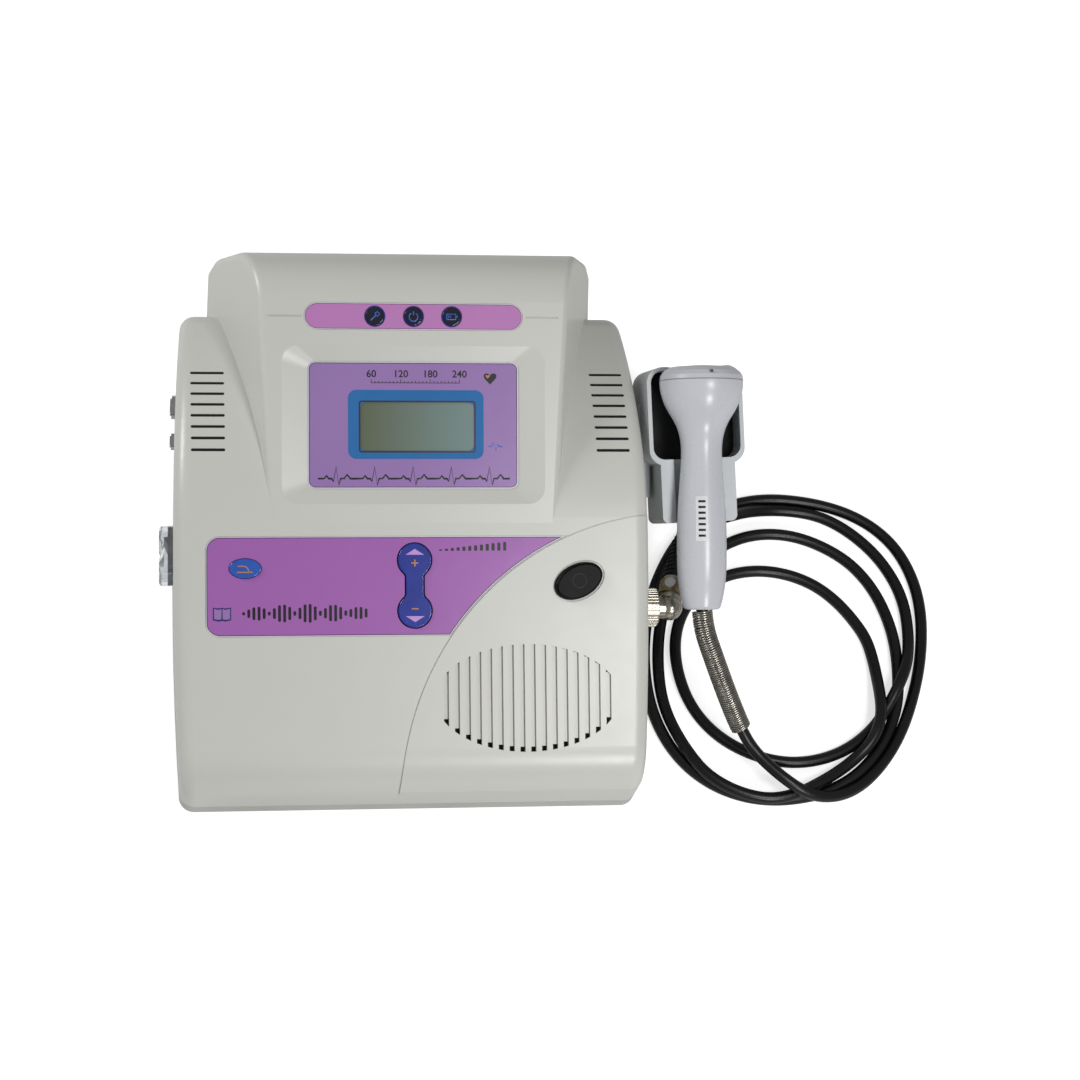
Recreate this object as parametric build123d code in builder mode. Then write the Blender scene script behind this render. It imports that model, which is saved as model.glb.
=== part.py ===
"""Tabletop fetal doppler monitor: a sloped plastic console with a display hood, a control label with keys,
an oval speaker behind a slotted grille, and a hand-held probe that lies in a holder on the right wall.

Lengths are in millimetres.  X points right, Y points back, Z points up.  The origin is at the middle of
the base of the whole object without its cord, on the table.

Case coordinates count X from the case's centre line and Y from a line under the display.  Face coordinates
count X across, S up the display's slope and N out of the display label's plane.
"""

from build123d import *
import os
from math import asin, cos, degrees, pi, radians, sin, sqrt, tan

# ------------------------------------------------------------------ console
DISPLAY_SLOPE = 25.0  # slope of the hood's face and of the display label
MAIN_SLOPE = 22.1  # slope of the lower face
DISPLAY_HEIGHT = 94.9  # height of the display label's plane above the table, at case Y = 0
CASE_HALF_FRONT = 113.0  # half widths of the bowed sides
CASE_HALF_WIDEST = 116.0
CASE_HALF_REAR = 111.6
WIDEST_Y = -34.0
FRONT_Y = -142.5
WING_BACK_Y = 95.0
CREST_RISE = 0.6  # top of the wings above the display label's plane
CREST_FRONT_RADIUS = 115.0
CREST_REAR_RADIUS = 205.0
FRONT_ROLL = 26.0  # where the lower face rolls down to the front wall
WING_BACK_ROLL = 14.0
EDGE_ROUND = 7.5  # round the outline of each side wall
WALL = 2.5
FOOT_HEIGHT = 3.0
FLOOR = 2.5
PARTING_Z = 10.5
PARTING_GAP = 0.25
LIP_HEIGHT = 2.5
LIP_THICKNESS = 1.2

# hood
HOOD_FOOT_S = -27.0
HOOD_TOP_S = 106.0
HOOD_HALF_FOOT = 69.5
HOOD_HALF_TOP = 76.5
HOOD_TAPER = 19.5
HOOD_TOP_ROLL = 26.0
HOOD_BACK_N = -50.0
HOOD_BACK_ROLL = 12.0
HOOD_ROUND = 3.5  # along the hood's side edges
HOOD_REAR_HALF = 97.5  # half width of its upright lower part
HOOD_REACH = 150.0  # how far its sloping sides run below the display, past the table

# display
RECESS_DEPTH = 2.8
RECESS_WIDTH = 128.0
RECESS_HEIGHT = 76.5
RECESS_CORNER = 8.0
DISPLAY_WIDTH = 102.2
DISPLAY_LENGTH = 61.0
DISPLAY_S = 20.5
LABEL_THICKNESS = 0.4
LABEL_GAP = 0.3
LCD_X = 1.9
LCD_S = 19.8
LCD_VIEW_WIDTH = 55.5
LCD_VIEW_LENGTH = 23.6
LCD_WIDTH = 64.0
LCD_LENGTH = 31.0
LCD_THICKNESS = 3.0
BACKLIGHT_THICKNESS = 3.0
LCD_BOARD_WIDTH = 86.0
LCD_BOARD_LENGTH = 48.0
BOARD_THICKNESS = 1.6

# indicator strip
STRIP_LENGTH = 106.0
STRIP_WIDTH = 12.8
STRIP_S = 72.9
LAMP_XS = (-19.0, -0.2, 18.4)
LAMP_RADIUS = 4.6
GROOVE_END_X = 70.5
GROOVE_WIDTH = 0.9
GROOVE_DEPTH = 0.5

# lower label and keys
CONTROL_LEFT_X = -100.6
CONTROL_TOP_S = -33.4
CONTROL_BOTTOM_S = -81.2
CONTROL_CORNER = 6.8
FILTER_X = -81.8
FILTER_S = -48.6
FILTER_HALF_LENGTH = 7.7
FILTER_HALF_WIDTH = 4.7
VOLUME_X = -0.1
VOLUME_S = -57.1
VOLUME_SPAN = 24.5  # between the centres of its two ends
VOLUME_RADIUS = 8.1
VOLUME_WAIST = 8.6
START_X = 80.0
START_S = -55.3
START_HALF_LENGTH = 12.3
START_HALF_WIDTH = 8.0
START_TILT = 26.0
START_DISH = 1.2
KEY_PROUD = 0.9
START_PROUD = 2.6
KEY_TRAVEL = 0.8
START_TRAVEL = 1.5
KEY_GAP = 0.3  # round a key in its hole
FLANGE = 1.2
BODY_GAP = 0.35  # between pieces on different bodies
PIVOT_RADIUS = 1.0
PIVOT_GAP = 0.05

# speaker panel: a raised quarter of an ellipse
PANEL_X = 127.5
PANEL_S = -163.2
PANEL_HALF_LENGTH = 134.8
PANEL_HALF_WIDTH = 140.5
PANEL_RISE = 0.9
PANEL_ROOT_N = -50.0  # below the front wall's foot
GRILLE_X = 54.4
GRILLE_S = -111.8
GRILLE_HALF_LENGTH = 45.0
GRILLE_HALF_WIDTH = 26.0
GRILLE_SLOTS = 16
GRILLE_PITCH = 5.3
GRILLE_SLOT = 2.5

# cooling slots on the wings
VENT_COUNT = 8
VENT_FIRST_Y = 9.5
VENT_PITCH = 6.2
VENT_X = 99.1
VENT_LENGTH = 16.6
VENT_WIDTH = 1.6

# probe, holder and cord
PROBE_N = -5.0
PROBE_WALL = 2.0
PROBE_SEAM_S = 43.0
PROBE_TOP_S = 50.6
PROBE_END_S = -70.0
PROBE_HEAD_RADIUS = 20.5
HOLDER_ROOM = 3.6  # from the probe's head to the holder's outside
HOLDER_INNER_X = 119.1  # its side by the case
HOLDER_S = 10.7  # the height it leans about
HOLDER_LEAN = 2.4
HOLDER_WIDTH = 2 * (PROBE_HEAD_RADIUS + HOLDER_ROOM)
HOLDER_X = HOLDER_INNER_X + HOLDER_WIDTH / 2
PROBE_X = HOLDER_X + 0.4
HOLDER_TOP_S = 51.0
HOLDER_SHOULDER_S = 2.0
HOLDER_END_S = -26.6
HOLDER_NECK = 37.6
HOLDER_RIM_N = -12.0
HOLDER_BACK_N = -46.0
HOLDER_WALL = 2.0
POCKET_FLOOR_N = PROBE_N - PROBE_HEAD_RADIUS - 1.6
CORD_RADIUS = 3.0
SPRING_RADIUS = 5.1
SPRING_BORE = 3.3

# feet, screws and what sits on the walls
FOOT_RADIUS = 8.0
FOOT_SEAT = 1.2
FOOT_POINTS = ((-88, -118), (88, -118), (-88, 62), (88, 62))
CASE_SCREW_POINTS = ((-100, -126), (100, -126), (-100, 78), (100, 78))
SCREW_RADIUS = 1.5
SCREW_HEAD_RADIUS = 2.9
SCREW_HEAD = 2.2
CASE_SCREW_SEAT = 7.5  # height of the tray's screw seats above the table
CASE_SCREW_GRIP = 10.5  # how far a case screw reaches above the parting line
SCREW_GAP = 0.05
POST_RADIUS = 4.5
SWITCH_Y = -28.0
SWITCH_Z = 54.0
SWITCH_LENGTH = 21.4  # of its body behind the wall
SWITCH_HEIGHT = 14.2
SWITCH_BEZEL = 1.5  # how far its rim and its boot's room reach beyond the body
BOOT_REACH = 6.8
BIG_JACK = (54.0, 55.0)  # case Y and Z
SMALL_JACK = (35.0, 54.0)
SOCKET_Y = -50.0
SOCKET_Z = 38.0
INLET_X = 62.0
INLET_Z = 42.0
FUSE_X = 22.0

LEFT_REACH = CASE_HALF_WIDEST + BOOT_REACH
RIGHT_REACH = HOLDER_X + HOLDER_WIDTH / 2 + 0.2
BACK_REACH = 119.0
CASE_X = (LEFT_REACH - RIGHT_REACH) / 2
CASE_Y = (-FRONT_Y - BACK_REACH) / 2


# ------------------------------------------------------------------ frames of reference
def slope_direction(angle):
    return Vector(0, cos(radians(angle)), sin(radians(angle)))


def slope_normal(angle):
    return Vector(0, -sin(radians(angle)), cos(radians(angle)))


SLOPE = slope_direction(DISPLAY_SLOPE)
NORMAL = slope_normal(DISPLAY_SLOPE)
FACE_ORIGIN = Vector(CASE_X, CASE_Y, DISPLAY_HEIGHT)


def on_face(x, s, n=0.0):
    """Point in face coordinates."""
    return FACE_ORIGIN + Vector(x, 0, 0) + SLOPE * s + NORMAL * n


def in_case(x, y, z):
    """Point in case coordinates."""
    return Vector(CASE_X + x, CASE_Y + y, z)


def turned(angle, slope):
    """Direction across a sloped plane, turned about its normal."""
    return Vector(cos(radians(angle)), 0, 0) + slope * sin(radians(angle))


def face_plane(x=0.0, s=0.0, n=0.0, turn=0.0):
    """Plane parallel to the display label; its sketches read X, then S."""
    return Plane(origin=on_face(x, s, n), x_dir=turned(turn, SLOPE), z_dir=NORMAL)


def main_plane(x=0.0, s=0.0, n=0.0, turn=0.0):
    """Plane parallel to the lower face, n above its surface, with s counted as on the display."""
    down = slope_direction(MAIN_SLOPE)
    foot = on_face(0, HOOD_FOOT_S, RECESS_DEPTH)
    origin = foot + Vector(x, 0, 0) + down * (s - HOOD_FOOT_S) + slope_normal(MAIN_SLOPE) * n
    return Plane(origin=origin, x_dir=turned(turn, down), z_dir=slope_normal(MAIN_SLOPE))


def level(z, x=0.0, y=0.0):
    """Horizontal plane in case coordinates."""
    return Plane(origin=in_case(x, y, z), x_dir=(1, 0, 0), z_dir=(0, 0, 1))


def upright(x=0.0, y=0.0, z=0.0):
    """Plane across the case; its sketches read Y, then Z."""
    return Plane(origin=in_case(x, y, z), x_dir=(0, 1, 0), z_dir=(1, 0, 0))


def slope_side(x=0.0):
    """Plane across the case; its sketches read S, then N."""
    return Plane(origin=on_face(x, 0, 0), x_dir=SLOPE, z_dir=(1, 0, 0))


def rear_wall(x, z, out=0.0):
    """Plane on the hood's rear wall; its sketches read -X, then Z."""
    back = on_face(0, HOOD_TOP_S, HOOD_BACK_N).Y - CASE_Y
    return Plane(origin=in_case(x, back + out, z), x_dir=(-1, 0, 0), z_dir=(0, 1, 0))


def bow():
    """Centre X, centre Y and radius of the right wall's bow, through its three given points."""
    ax, ay, bx, by = CASE_HALF_FRONT, FRONT_Y, CASE_HALF_WIDEST, WIDEST_Y
    cx, cy = CASE_HALF_REAR, WING_BACK_Y
    det = 2 * (ax * (by - cy) + bx * (cy - ay) + cx * (ay - by))
    aa, bb, cc = ax * ax + ay * ay, bx * bx + by * by, cx * cx + cy * cy
    x = (aa * (by - cy) + bb * (cy - ay) + cc * (ay - by)) / det
    y = (aa * (cx - bx) + bb * (ax - cx) + cc * (bx - ax)) / det
    return x, y, sqrt((ax - x) ** 2 + (ay - y) ** 2)


def wall_plane(side, y, z, out=0.0):
    """Plane on a side wall (side is 1 on the right, -1 on the left); its sketches read along, then Z."""
    centre_x, centre_y, radius = bow()
    ny = (y - centre_y) / radius
    nx = sqrt(1 - ny * ny)
    x = centre_x + (radius + out) * nx
    origin = in_case(side * x, centre_y + (radius + out) * ny, z)
    return Plane(origin=origin, x_dir=(-ny, side * nx, 0), z_dir=(side * nx, ny, 0))


# ------------------------------------------------------------------ the console's form
def plan_outline(inset, z=0.0, with_hood=False):
    """Outline of the case from above, inset from its outer wall, with or without the hood's rear."""
    with BuildSketch(level(z)) as outline:
        with BuildLine():
            sides = [
                ThreePointArc(
                    (side * CASE_HALF_FRONT, FRONT_Y),
                    (side * CASE_HALF_WIDEST, WIDEST_Y),
                    (side * CASE_HALF_REAR, WING_BACK_Y),
                )
                for side in (-1, 1)
            ]
            Line(sides[0] @ 0, sides[1] @ 0)
            Line(sides[0] @ 1, sides[1] @ 1)
        make_face()
        if inset:
            offset(amount=-inset, kind=Kind.INTERSECTION, mode=Mode.REPLACE)
        if with_hood:
            rear_y = rear_wall(0, 0).origin.Y - CASE_Y - inset
            with Locations((0, rear_y / 2)):
                Rectangle(2 * (HOOD_REAR_HALF - inset), rear_y)
            behind = [v for v in outline.vertices() if 0 < v.Y < rear_y - 1]
            beside = [v for v in behind if abs(v.X) < HOOD_REAR_HALF + 1]
            fillet([v for v in outline.vertices() if v not in beside], EDGE_ROUND)
    return outline.sketch


def wing_profile(inset):
    """Side view of the case without its hood, inset from its outer wall."""
    foot = on_face(0, HOOD_FOOT_S, RECESS_DEPTH) - Vector(0, CASE_Y, 0)
    rise = tan(radians(MAIN_SLOPE))
    crest_start_z = DISPLAY_HEIGHT + CREST_RISE - CREST_FRONT_RADIUS * (1 - cos(radians(MAIN_SLOPE)))
    crest_start_y = foot.Y + (crest_start_z - foot.Z) / rise
    crest_y = crest_start_y + CREST_FRONT_RADIUS * sin(radians(MAIN_SLOPE))
    fall = degrees(asin((WING_BACK_Y - crest_y) / CREST_REAR_RADIUS))
    with BuildSketch(upright()) as side:
        with BuildLine():
            front = Line((FRONT_Y, 0), (FRONT_Y, foot.Z + (FRONT_Y - foot.Y) * rise))
            face_line = Line(front @ 1, (crest_start_y, crest_start_z))
            up = JernArc(face_line @ 1, face_line % 1, CREST_FRONT_RADIUS, -MAIN_SLOPE)
            down = JernArc(up @ 1, up % 1, CREST_REAR_RADIUS, -fall)
            back = Line(down @ 1, (WING_BACK_Y, 0))
            Line(back @ 1, front @ 0)
        make_face()
        fillet(side.vertices().sort_by_distance(front @ 1)[0], FRONT_ROLL)
        fillet(side.vertices().sort_by_distance(down @ 1)[0], WING_BACK_ROLL)
        if inset:
            offset(amount=-inset, mode=Mode.REPLACE)
    return side.sketch


def hood_section(n, inset):
    """Outline of the hood cut by a plane parallel to its face."""
    spread = (RECESS_DEPTH - n) * tan(radians(HOOD_TAPER)) - inset / cos(radians(HOOD_TAPER))
    flare = (HOOD_HALF_TOP - HOOD_HALF_FOOT) / (HOOD_TOP_S - HOOD_FOOT_S)
    below = 20.0
    low = HOOD_HALF_FOOT - below * flare + spread
    top = HOOD_HALF_TOP - inset * flare + spread
    low_s, top_s = HOOD_FOOT_S - below, HOOD_TOP_S - inset
    with BuildSketch(face_plane(0, 0, n)) as cut:
        Polygon((-low, low_s), (low, low_s), (top, top_s), (-top, top_s), align=None)
    return cut.sketch


def hood_profile(inset):
    """Side view of the hood, inset from its outer wall."""
    drop = 130.0
    start = HOOD_FOOT_S - 15
    back_s = HOOD_TOP_S - drop * SLOPE.Z
    back_n = HOOD_BACK_N - drop * NORMAL.Z
    brow = (HOOD_TOP_S, RECESS_DEPTH)
    heel = (HOOD_TOP_S, HOOD_BACK_N)
    with BuildSketch(slope_side()) as side:
        Polygon((start, RECESS_DEPTH), (start, back_n), (back_s, back_n), heel, brow, align=None)
        fillet(side.vertices().sort_by_distance(brow)[0], HOOD_TOP_ROLL)
        fillet(side.vertices().sort_by_distance(heel)[0], HOOD_BACK_ROLL)
        if inset:
            offset(amount=-inset, mode=Mode.REPLACE)
    return side.sketch


def hood_form(inset=0.0):
    """The hood as a solid, inset from its outer wall."""
    with BuildPart() as hood:
        loft([hood_section(RECESS_DEPTH + 1 - inset, inset), hood_section(-HOOD_REACH, inset)])
        extrude(hood_profile(inset), amount=200, both=True, mode=Mode.INTERSECT)
        with BuildSketch(level(-30)):
            Rectangle(2 * (HOOD_REAR_HALF - inset), 400)
        extrude(amount=200, mode=Mode.INTERSECT)
        across = hood.edges().filter_by(Axis.X)
        corners = hood.edges().filter_by(Axis.Z)
        sides = [e for e in hood.edges() if e not in across and (e.center().Z > 40 or e in corners)]
        fillet(sides, HOOD_ROUND - inset)
    return hood.part


def wing_form(inset=0.0):
    """The case without its hood as a solid, inset from its outer wall."""
    with BuildPart() as wings:
        extrude(wing_profile(inset), amount=CASE_HALF_WIDEST + 2, both=True)
        extrude(plan_outline(inset), amount=150, mode=Mode.INTERSECT)
        across = wings.edges().filter_by(Axis.X)
        foot = wings.edges().group_by(Axis.Z)[0]
        fillet([e for e in wings.edges() if e not in across and e not in foot], EDGE_ROUND - inset)
    return wings.part


def console_form(inset=0.0):
    """The whole case as a solid, inset from its outer wall."""
    with BuildPart() as console:
        add(wing_form(inset))
        add(hood_form(inset))
        with BuildSketch(level(0)):
            Rectangle(500, 500)
        extrude(amount=200, mode=Mode.INTERSECT)
    return console.part


OUTER = console_form()
INNER = console_form(WALL)
SKIN = console_form(1.0)  # inside the thickness of the wall: posts and ribs end here


# ------------------------------------------------------------------ simple shapes
def peg(plane, radius, length, points=((0, 0),)):
    """Round pegs standing on a plane."""
    with BuildPart() as pegs:
        with BuildSketch(plane):
            with Locations(*points):
                Circle(radius)
        extrude(amount=length)
    return pegs.part


def block(plane, width, height, depth, corner=0.0, points=((0, 0),)):
    """Blocks standing on a plane, with round corners where corner is given."""
    with BuildPart() as blocks:
        with BuildSketch(plane):
            with Locations(*points):
                if corner:
                    RectangleRounded(width, height, corner)
                else:
                    Rectangle(width, height)
        extrude(amount=depth)
    return blocks.part


def oval(plane, half_length, half_width, depth):
    """Elliptical block standing on a plane."""
    with BuildPart() as shape:
        with BuildSketch(plane):
            Ellipse(half_length, half_width)
        extrude(amount=depth)
    return shape.part


def dumbbell(plane, grow, depth):
    """The volume key's outline, grown all round and standing on a plane."""
    with BuildPart() as shape:
        with BuildSketch(plane) as outline:
            with Locations((0, -VOLUME_SPAN / 2), (0, VOLUME_SPAN / 2)):
                Circle(VOLUME_RADIUS)
            Rectangle(VOLUME_WAIST, VOLUME_SPAN)
            inner = [v for v in outline.vertices() if abs(v.Y) < VOLUME_SPAN / 2 - 1]
            fillet(inner, 3.0)
            if grow:
                offset(amount=grow, mode=Mode.REPLACE)
        extrude(amount=depth)
    return shape.part


def screw(plane, radius, length, head_radius, head):
    """Screw whose head stands on the plane and whose shank goes down through it."""
    with BuildPart() as body:
        add(peg(plane, head_radius, head))
        add(peg(plane, radius, -length))
    return body.part


def under(plane):
    """The same plane seen from its other side."""
    return Plane(origin=plane.origin, x_dir=plane.x_dir, z_dir=-plane.z_dir)


# ------------------------------------------------------------------ where things sit, along each normal
LABEL_N = -LABEL_THICKNESS
FLOOR_N = LABEL_N - WALL  # underside of the display recess
LCD_BACK_N = LABEL_N - LCD_THICKNESS
LIGHT_BACK_N = LCD_BACK_N - BACKLIGHT_THICKNESS
LCD_BOARD_N = LIGHT_BACK_N - BOARD_THICKNESS
HOOD_INNER_N = RECESS_DEPTH - WALL
INDICATOR_BOARD_N = -7.0
KEY_BOARD_N = -12.2
KEY_BOARD_TOP_N = KEY_BOARD_N + BOARD_THICKNESS
KEY_FLANGE_N = -WALL - BODY_GAP
START_FLANGE_N = KEY_FLANGE_N
FILTER_BACK_N = KEY_FLANGE_N - FLANGE
VOLUME_FLANGE_N = -4.0
VOLUME_BACK_N = VOLUME_FLANGE_N - FLANGE
PIVOT_N = -4.6
LUG_END_N = -6.8
START_BACK_N = START_FLANGE_N - 1.4
FILTER_SWITCH_N = FILTER_BACK_N - KEY_TRAVEL - BODY_GAP
VOLUME_SWITCH_N = -6.6
START_SWITCH_N = START_BACK_N - START_TRAVEL - BODY_GAP
BASKET_FRONT_N = -WALL - 0.4
BASKET_EAR_N = -4.9
BASKET_RIM_N = -6.4
BASKET_BACK_N = -24.0
MAGNET_BACK_N = -36.0
FLOOR_Z = FOOT_HEIGHT + FLOOR
MAIN_BOARD_Z = 14.0

PANEL_SCREW_RADIUS = 1.25
PANEL_SCREW_HEAD_RADIUS = 2.4
PANEL_SCREW_HEAD = 1.2
BOARD_SCREW_RADIUS = 1.0
BOARD_SCREW_LENGTH = 4.2
BOARD_SCREW_HEAD_RADIUS = 2.0
BOARD_SCREW_HEAD = 1.3
BOSS_RADIUS = 2.8
LCD_POSTS = ((-38, 0.5), (38, 0.5), (-38, 40.5), (38, 40.5))
INDICATOR_POSTS = ((-30, 73), (30, 73))
KEY_POSTS = ((-93.5, -40.5), (-93.5, -75.5), (40, -40.5), (34, -75.5), (95.5, -40.5), (95.5, -75.5))
EAR_X = 34.0
EAR_S = 22.5
SPEAKER_POSTS = (
    (GRILLE_X - EAR_X, GRILLE_S - EAR_S),
    (GRILLE_X + EAR_X, GRILLE_S - EAR_S),
    (GRILLE_X - EAR_X, GRILLE_S + EAR_S),
    (GRILLE_X + EAR_X, GRILLE_S + EAR_S),
)
MAIN_BOARD_POSTS = ((-91, -16), (51, -16), (-91, 66), (51, 66))

shell_screw_planes = [under(face_plane(x, s, LCD_BOARD_N)) for x, s in LCD_POSTS]
shell_screw_planes += [under(face_plane(x, s, INDICATOR_BOARD_N)) for x, s in INDICATOR_POSTS]
shell_screw_planes += [under(main_plane(x, s, KEY_BOARD_N)) for x, s in KEY_POSTS]
shell_screw_planes += [under(main_plane(x, s, BASKET_RIM_N)) for x, s in SPEAKER_POSTS]
tray_screw_planes = [level(MAIN_BOARD_Z + BOARD_THICKNESS, x, y) for x, y in MAIN_BOARD_POSTS]

# ------------------------------------------------------------------ upper shell
with BuildPart() as speaker_panel:  # the lower face raised inside an ellipse, with the same walls
    extrude(wing_profile(-PANEL_RISE), amount=CASE_HALF_WIDEST + 2, both=True)
    extrude(plan_outline(0), amount=150, mode=Mode.INTERSECT)
    across = speaker_panel.edges().filter_by(Axis.X)
    foot = speaker_panel.edges().group_by(Axis.Z)[0]
    fillet([e for e in speaker_panel.edges() if e not in across and e not in foot], EDGE_ROUND)
    panel_root = main_plane(PANEL_X, PANEL_S, PANEL_ROOT_N)
    add(oval(panel_root, PANEL_HALF_LENGTH, PANEL_HALF_WIDTH, 62), mode=Mode.INTERSECT)
    add(block(level(PARTING_Z + PARTING_GAP), 500, 500, 150), mode=Mode.INTERSECT)

with BuildPart() as cavity:  # the room inside, less the floor of the display's recess
    add(INNER)
    add(
        block(face_plane(0, DISPLAY_S, FLOOR_N), RECESS_WIDTH + 2 * WALL, RECESS_HEIGHT + 2 * WALL, 5, 10),
        mode=Mode.SUBTRACT,
    )

with BuildPart() as posts:
    add(peg(level(PARTING_Z + PARTING_GAP), POST_RADIUS, 110, CASE_SCREW_POINTS))
    add(SKIN, mode=Mode.INTERSECT)

with BuildPart() as display_recess:
    with BuildSketch(face_plane(0, DISPLAY_S, LABEL_N)):
        RectangleRounded(DISPLAY_WIDTH + 2 * LABEL_GAP, DISPLAY_LENGTH + 2 * LABEL_GAP, 3.8)
    with BuildSketch(face_plane(0, DISPLAY_S, RECESS_DEPTH)):
        RectangleRounded(RECESS_WIDTH, RECESS_HEIGHT, RECESS_CORNER)
    loft()
    with BuildSketch(face_plane(0, DISPLAY_S, RECESS_DEPTH)):
        RectangleRounded(RECESS_WIDTH, RECESS_HEIGHT, RECESS_CORNER)
    extrude(amount=6)


def control_label(grow, n, depth):
    """The lower label's outline, grown all round: a rectangle ended by the speaker panel's ellipse."""
    middle_s = (CONTROL_TOP_S + CONTROL_BOTTOM_S) / 2
    length = 200.0
    with BuildPart() as label:
        with BuildSketch(main_plane(CONTROL_LEFT_X + length / 2, middle_s, n)):
            RectangleRounded(
                length + 2 * grow, CONTROL_TOP_S - CONTROL_BOTTOM_S + 2 * grow, CONTROL_CORNER + grow
            )
        extrude(amount=depth)
        add(
            oval(
                main_plane(PANEL_X, PANEL_S, n - 1),
                PANEL_HALF_LENGTH + 0.9 - grow,
                PANEL_HALF_WIDTH + 0.9 - grow,
                depth + 2,
            ),
            mode=Mode.SUBTRACT,
        )
    return label.part


with BuildPart() as grille_slots:
    with BuildSketch(main_plane(GRILLE_X, GRILLE_S, -6)):
        with GridLocations(GRILLE_PITCH, 0, GRILLE_SLOTS, 1):
            Rectangle(GRILLE_SLOT, 2 * GRILLE_HALF_WIDTH)
        Ellipse(GRILLE_HALF_LENGTH, GRILLE_HALF_WIDTH, mode=Mode.INTERSECT)
    extrude(amount=12)

with BuildPart() as vents:
    with BuildSketch(level(70)):
        for side in (-1, 1):
            for k in range(VENT_COUNT):
                with Locations((side * VENT_X, VENT_FIRST_Y + k * VENT_PITCH)):
                    SlotOverall(VENT_LENGTH, VENT_WIDTH)
    extrude(amount=40)

with BuildPart() as grooves:
    for side in (-1, 1):
        inner_x = STRIP_LENGTH / 2 + 1.5
        middle_x = side * (GROOVE_END_X + inner_x) / 2
        with BuildSketch(face_plane(middle_x, STRIP_S, RECESS_DEPTH - GROOVE_DEPTH)):
            SlotOverall(GROOVE_END_X - inner_x, GROOVE_WIDTH)
        extrude(amount=3)

big_jack_plane = wall_plane(-1, *BIG_JACK)
small_jack_plane = wall_plane(-1, *SMALL_JACK)
switch_plane = wall_plane(-1, SWITCH_Y, SWITCH_Z)
socket_plane = wall_plane(1, SOCKET_Y, SOCKET_Z)
HOLDER_SCREWS = ((9.8, DISPLAY_HEIGHT - 35.2), (37.0, DISPLAY_HEIGHT - 22.5))  # case Y and Z
INLET_SCREW_X = 20.0
SOCKET_SCREWS = ((-9, -9), (9, -9), (-9, 9), (9, 9))

with BuildPart() as key_holes:  # through the lower face, for the filter, volume and start keys
    filter_hole = (FILTER_HALF_LENGTH + KEY_GAP, FILTER_HALF_WIDTH + KEY_GAP)
    add(oval(main_plane(FILTER_X, FILTER_S, -4), *filter_hole, 8))
    add(dumbbell(main_plane(VOLUME_X, VOLUME_S, -4), 2 * KEY_GAP, 8))
    start_plane = main_plane(START_X, START_S, -4, START_TILT)
    add(oval(start_plane, START_HALF_LENGTH + KEY_GAP, START_HALF_WIDTH + KEY_GAP, 8))
    start_dish = main_plane(START_X, START_S, PANEL_RISE - 0.8, START_TILT)
    add(oval(start_dish, START_HALF_LENGTH + START_DISH, START_HALF_WIDTH + START_DISH, 3))

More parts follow.
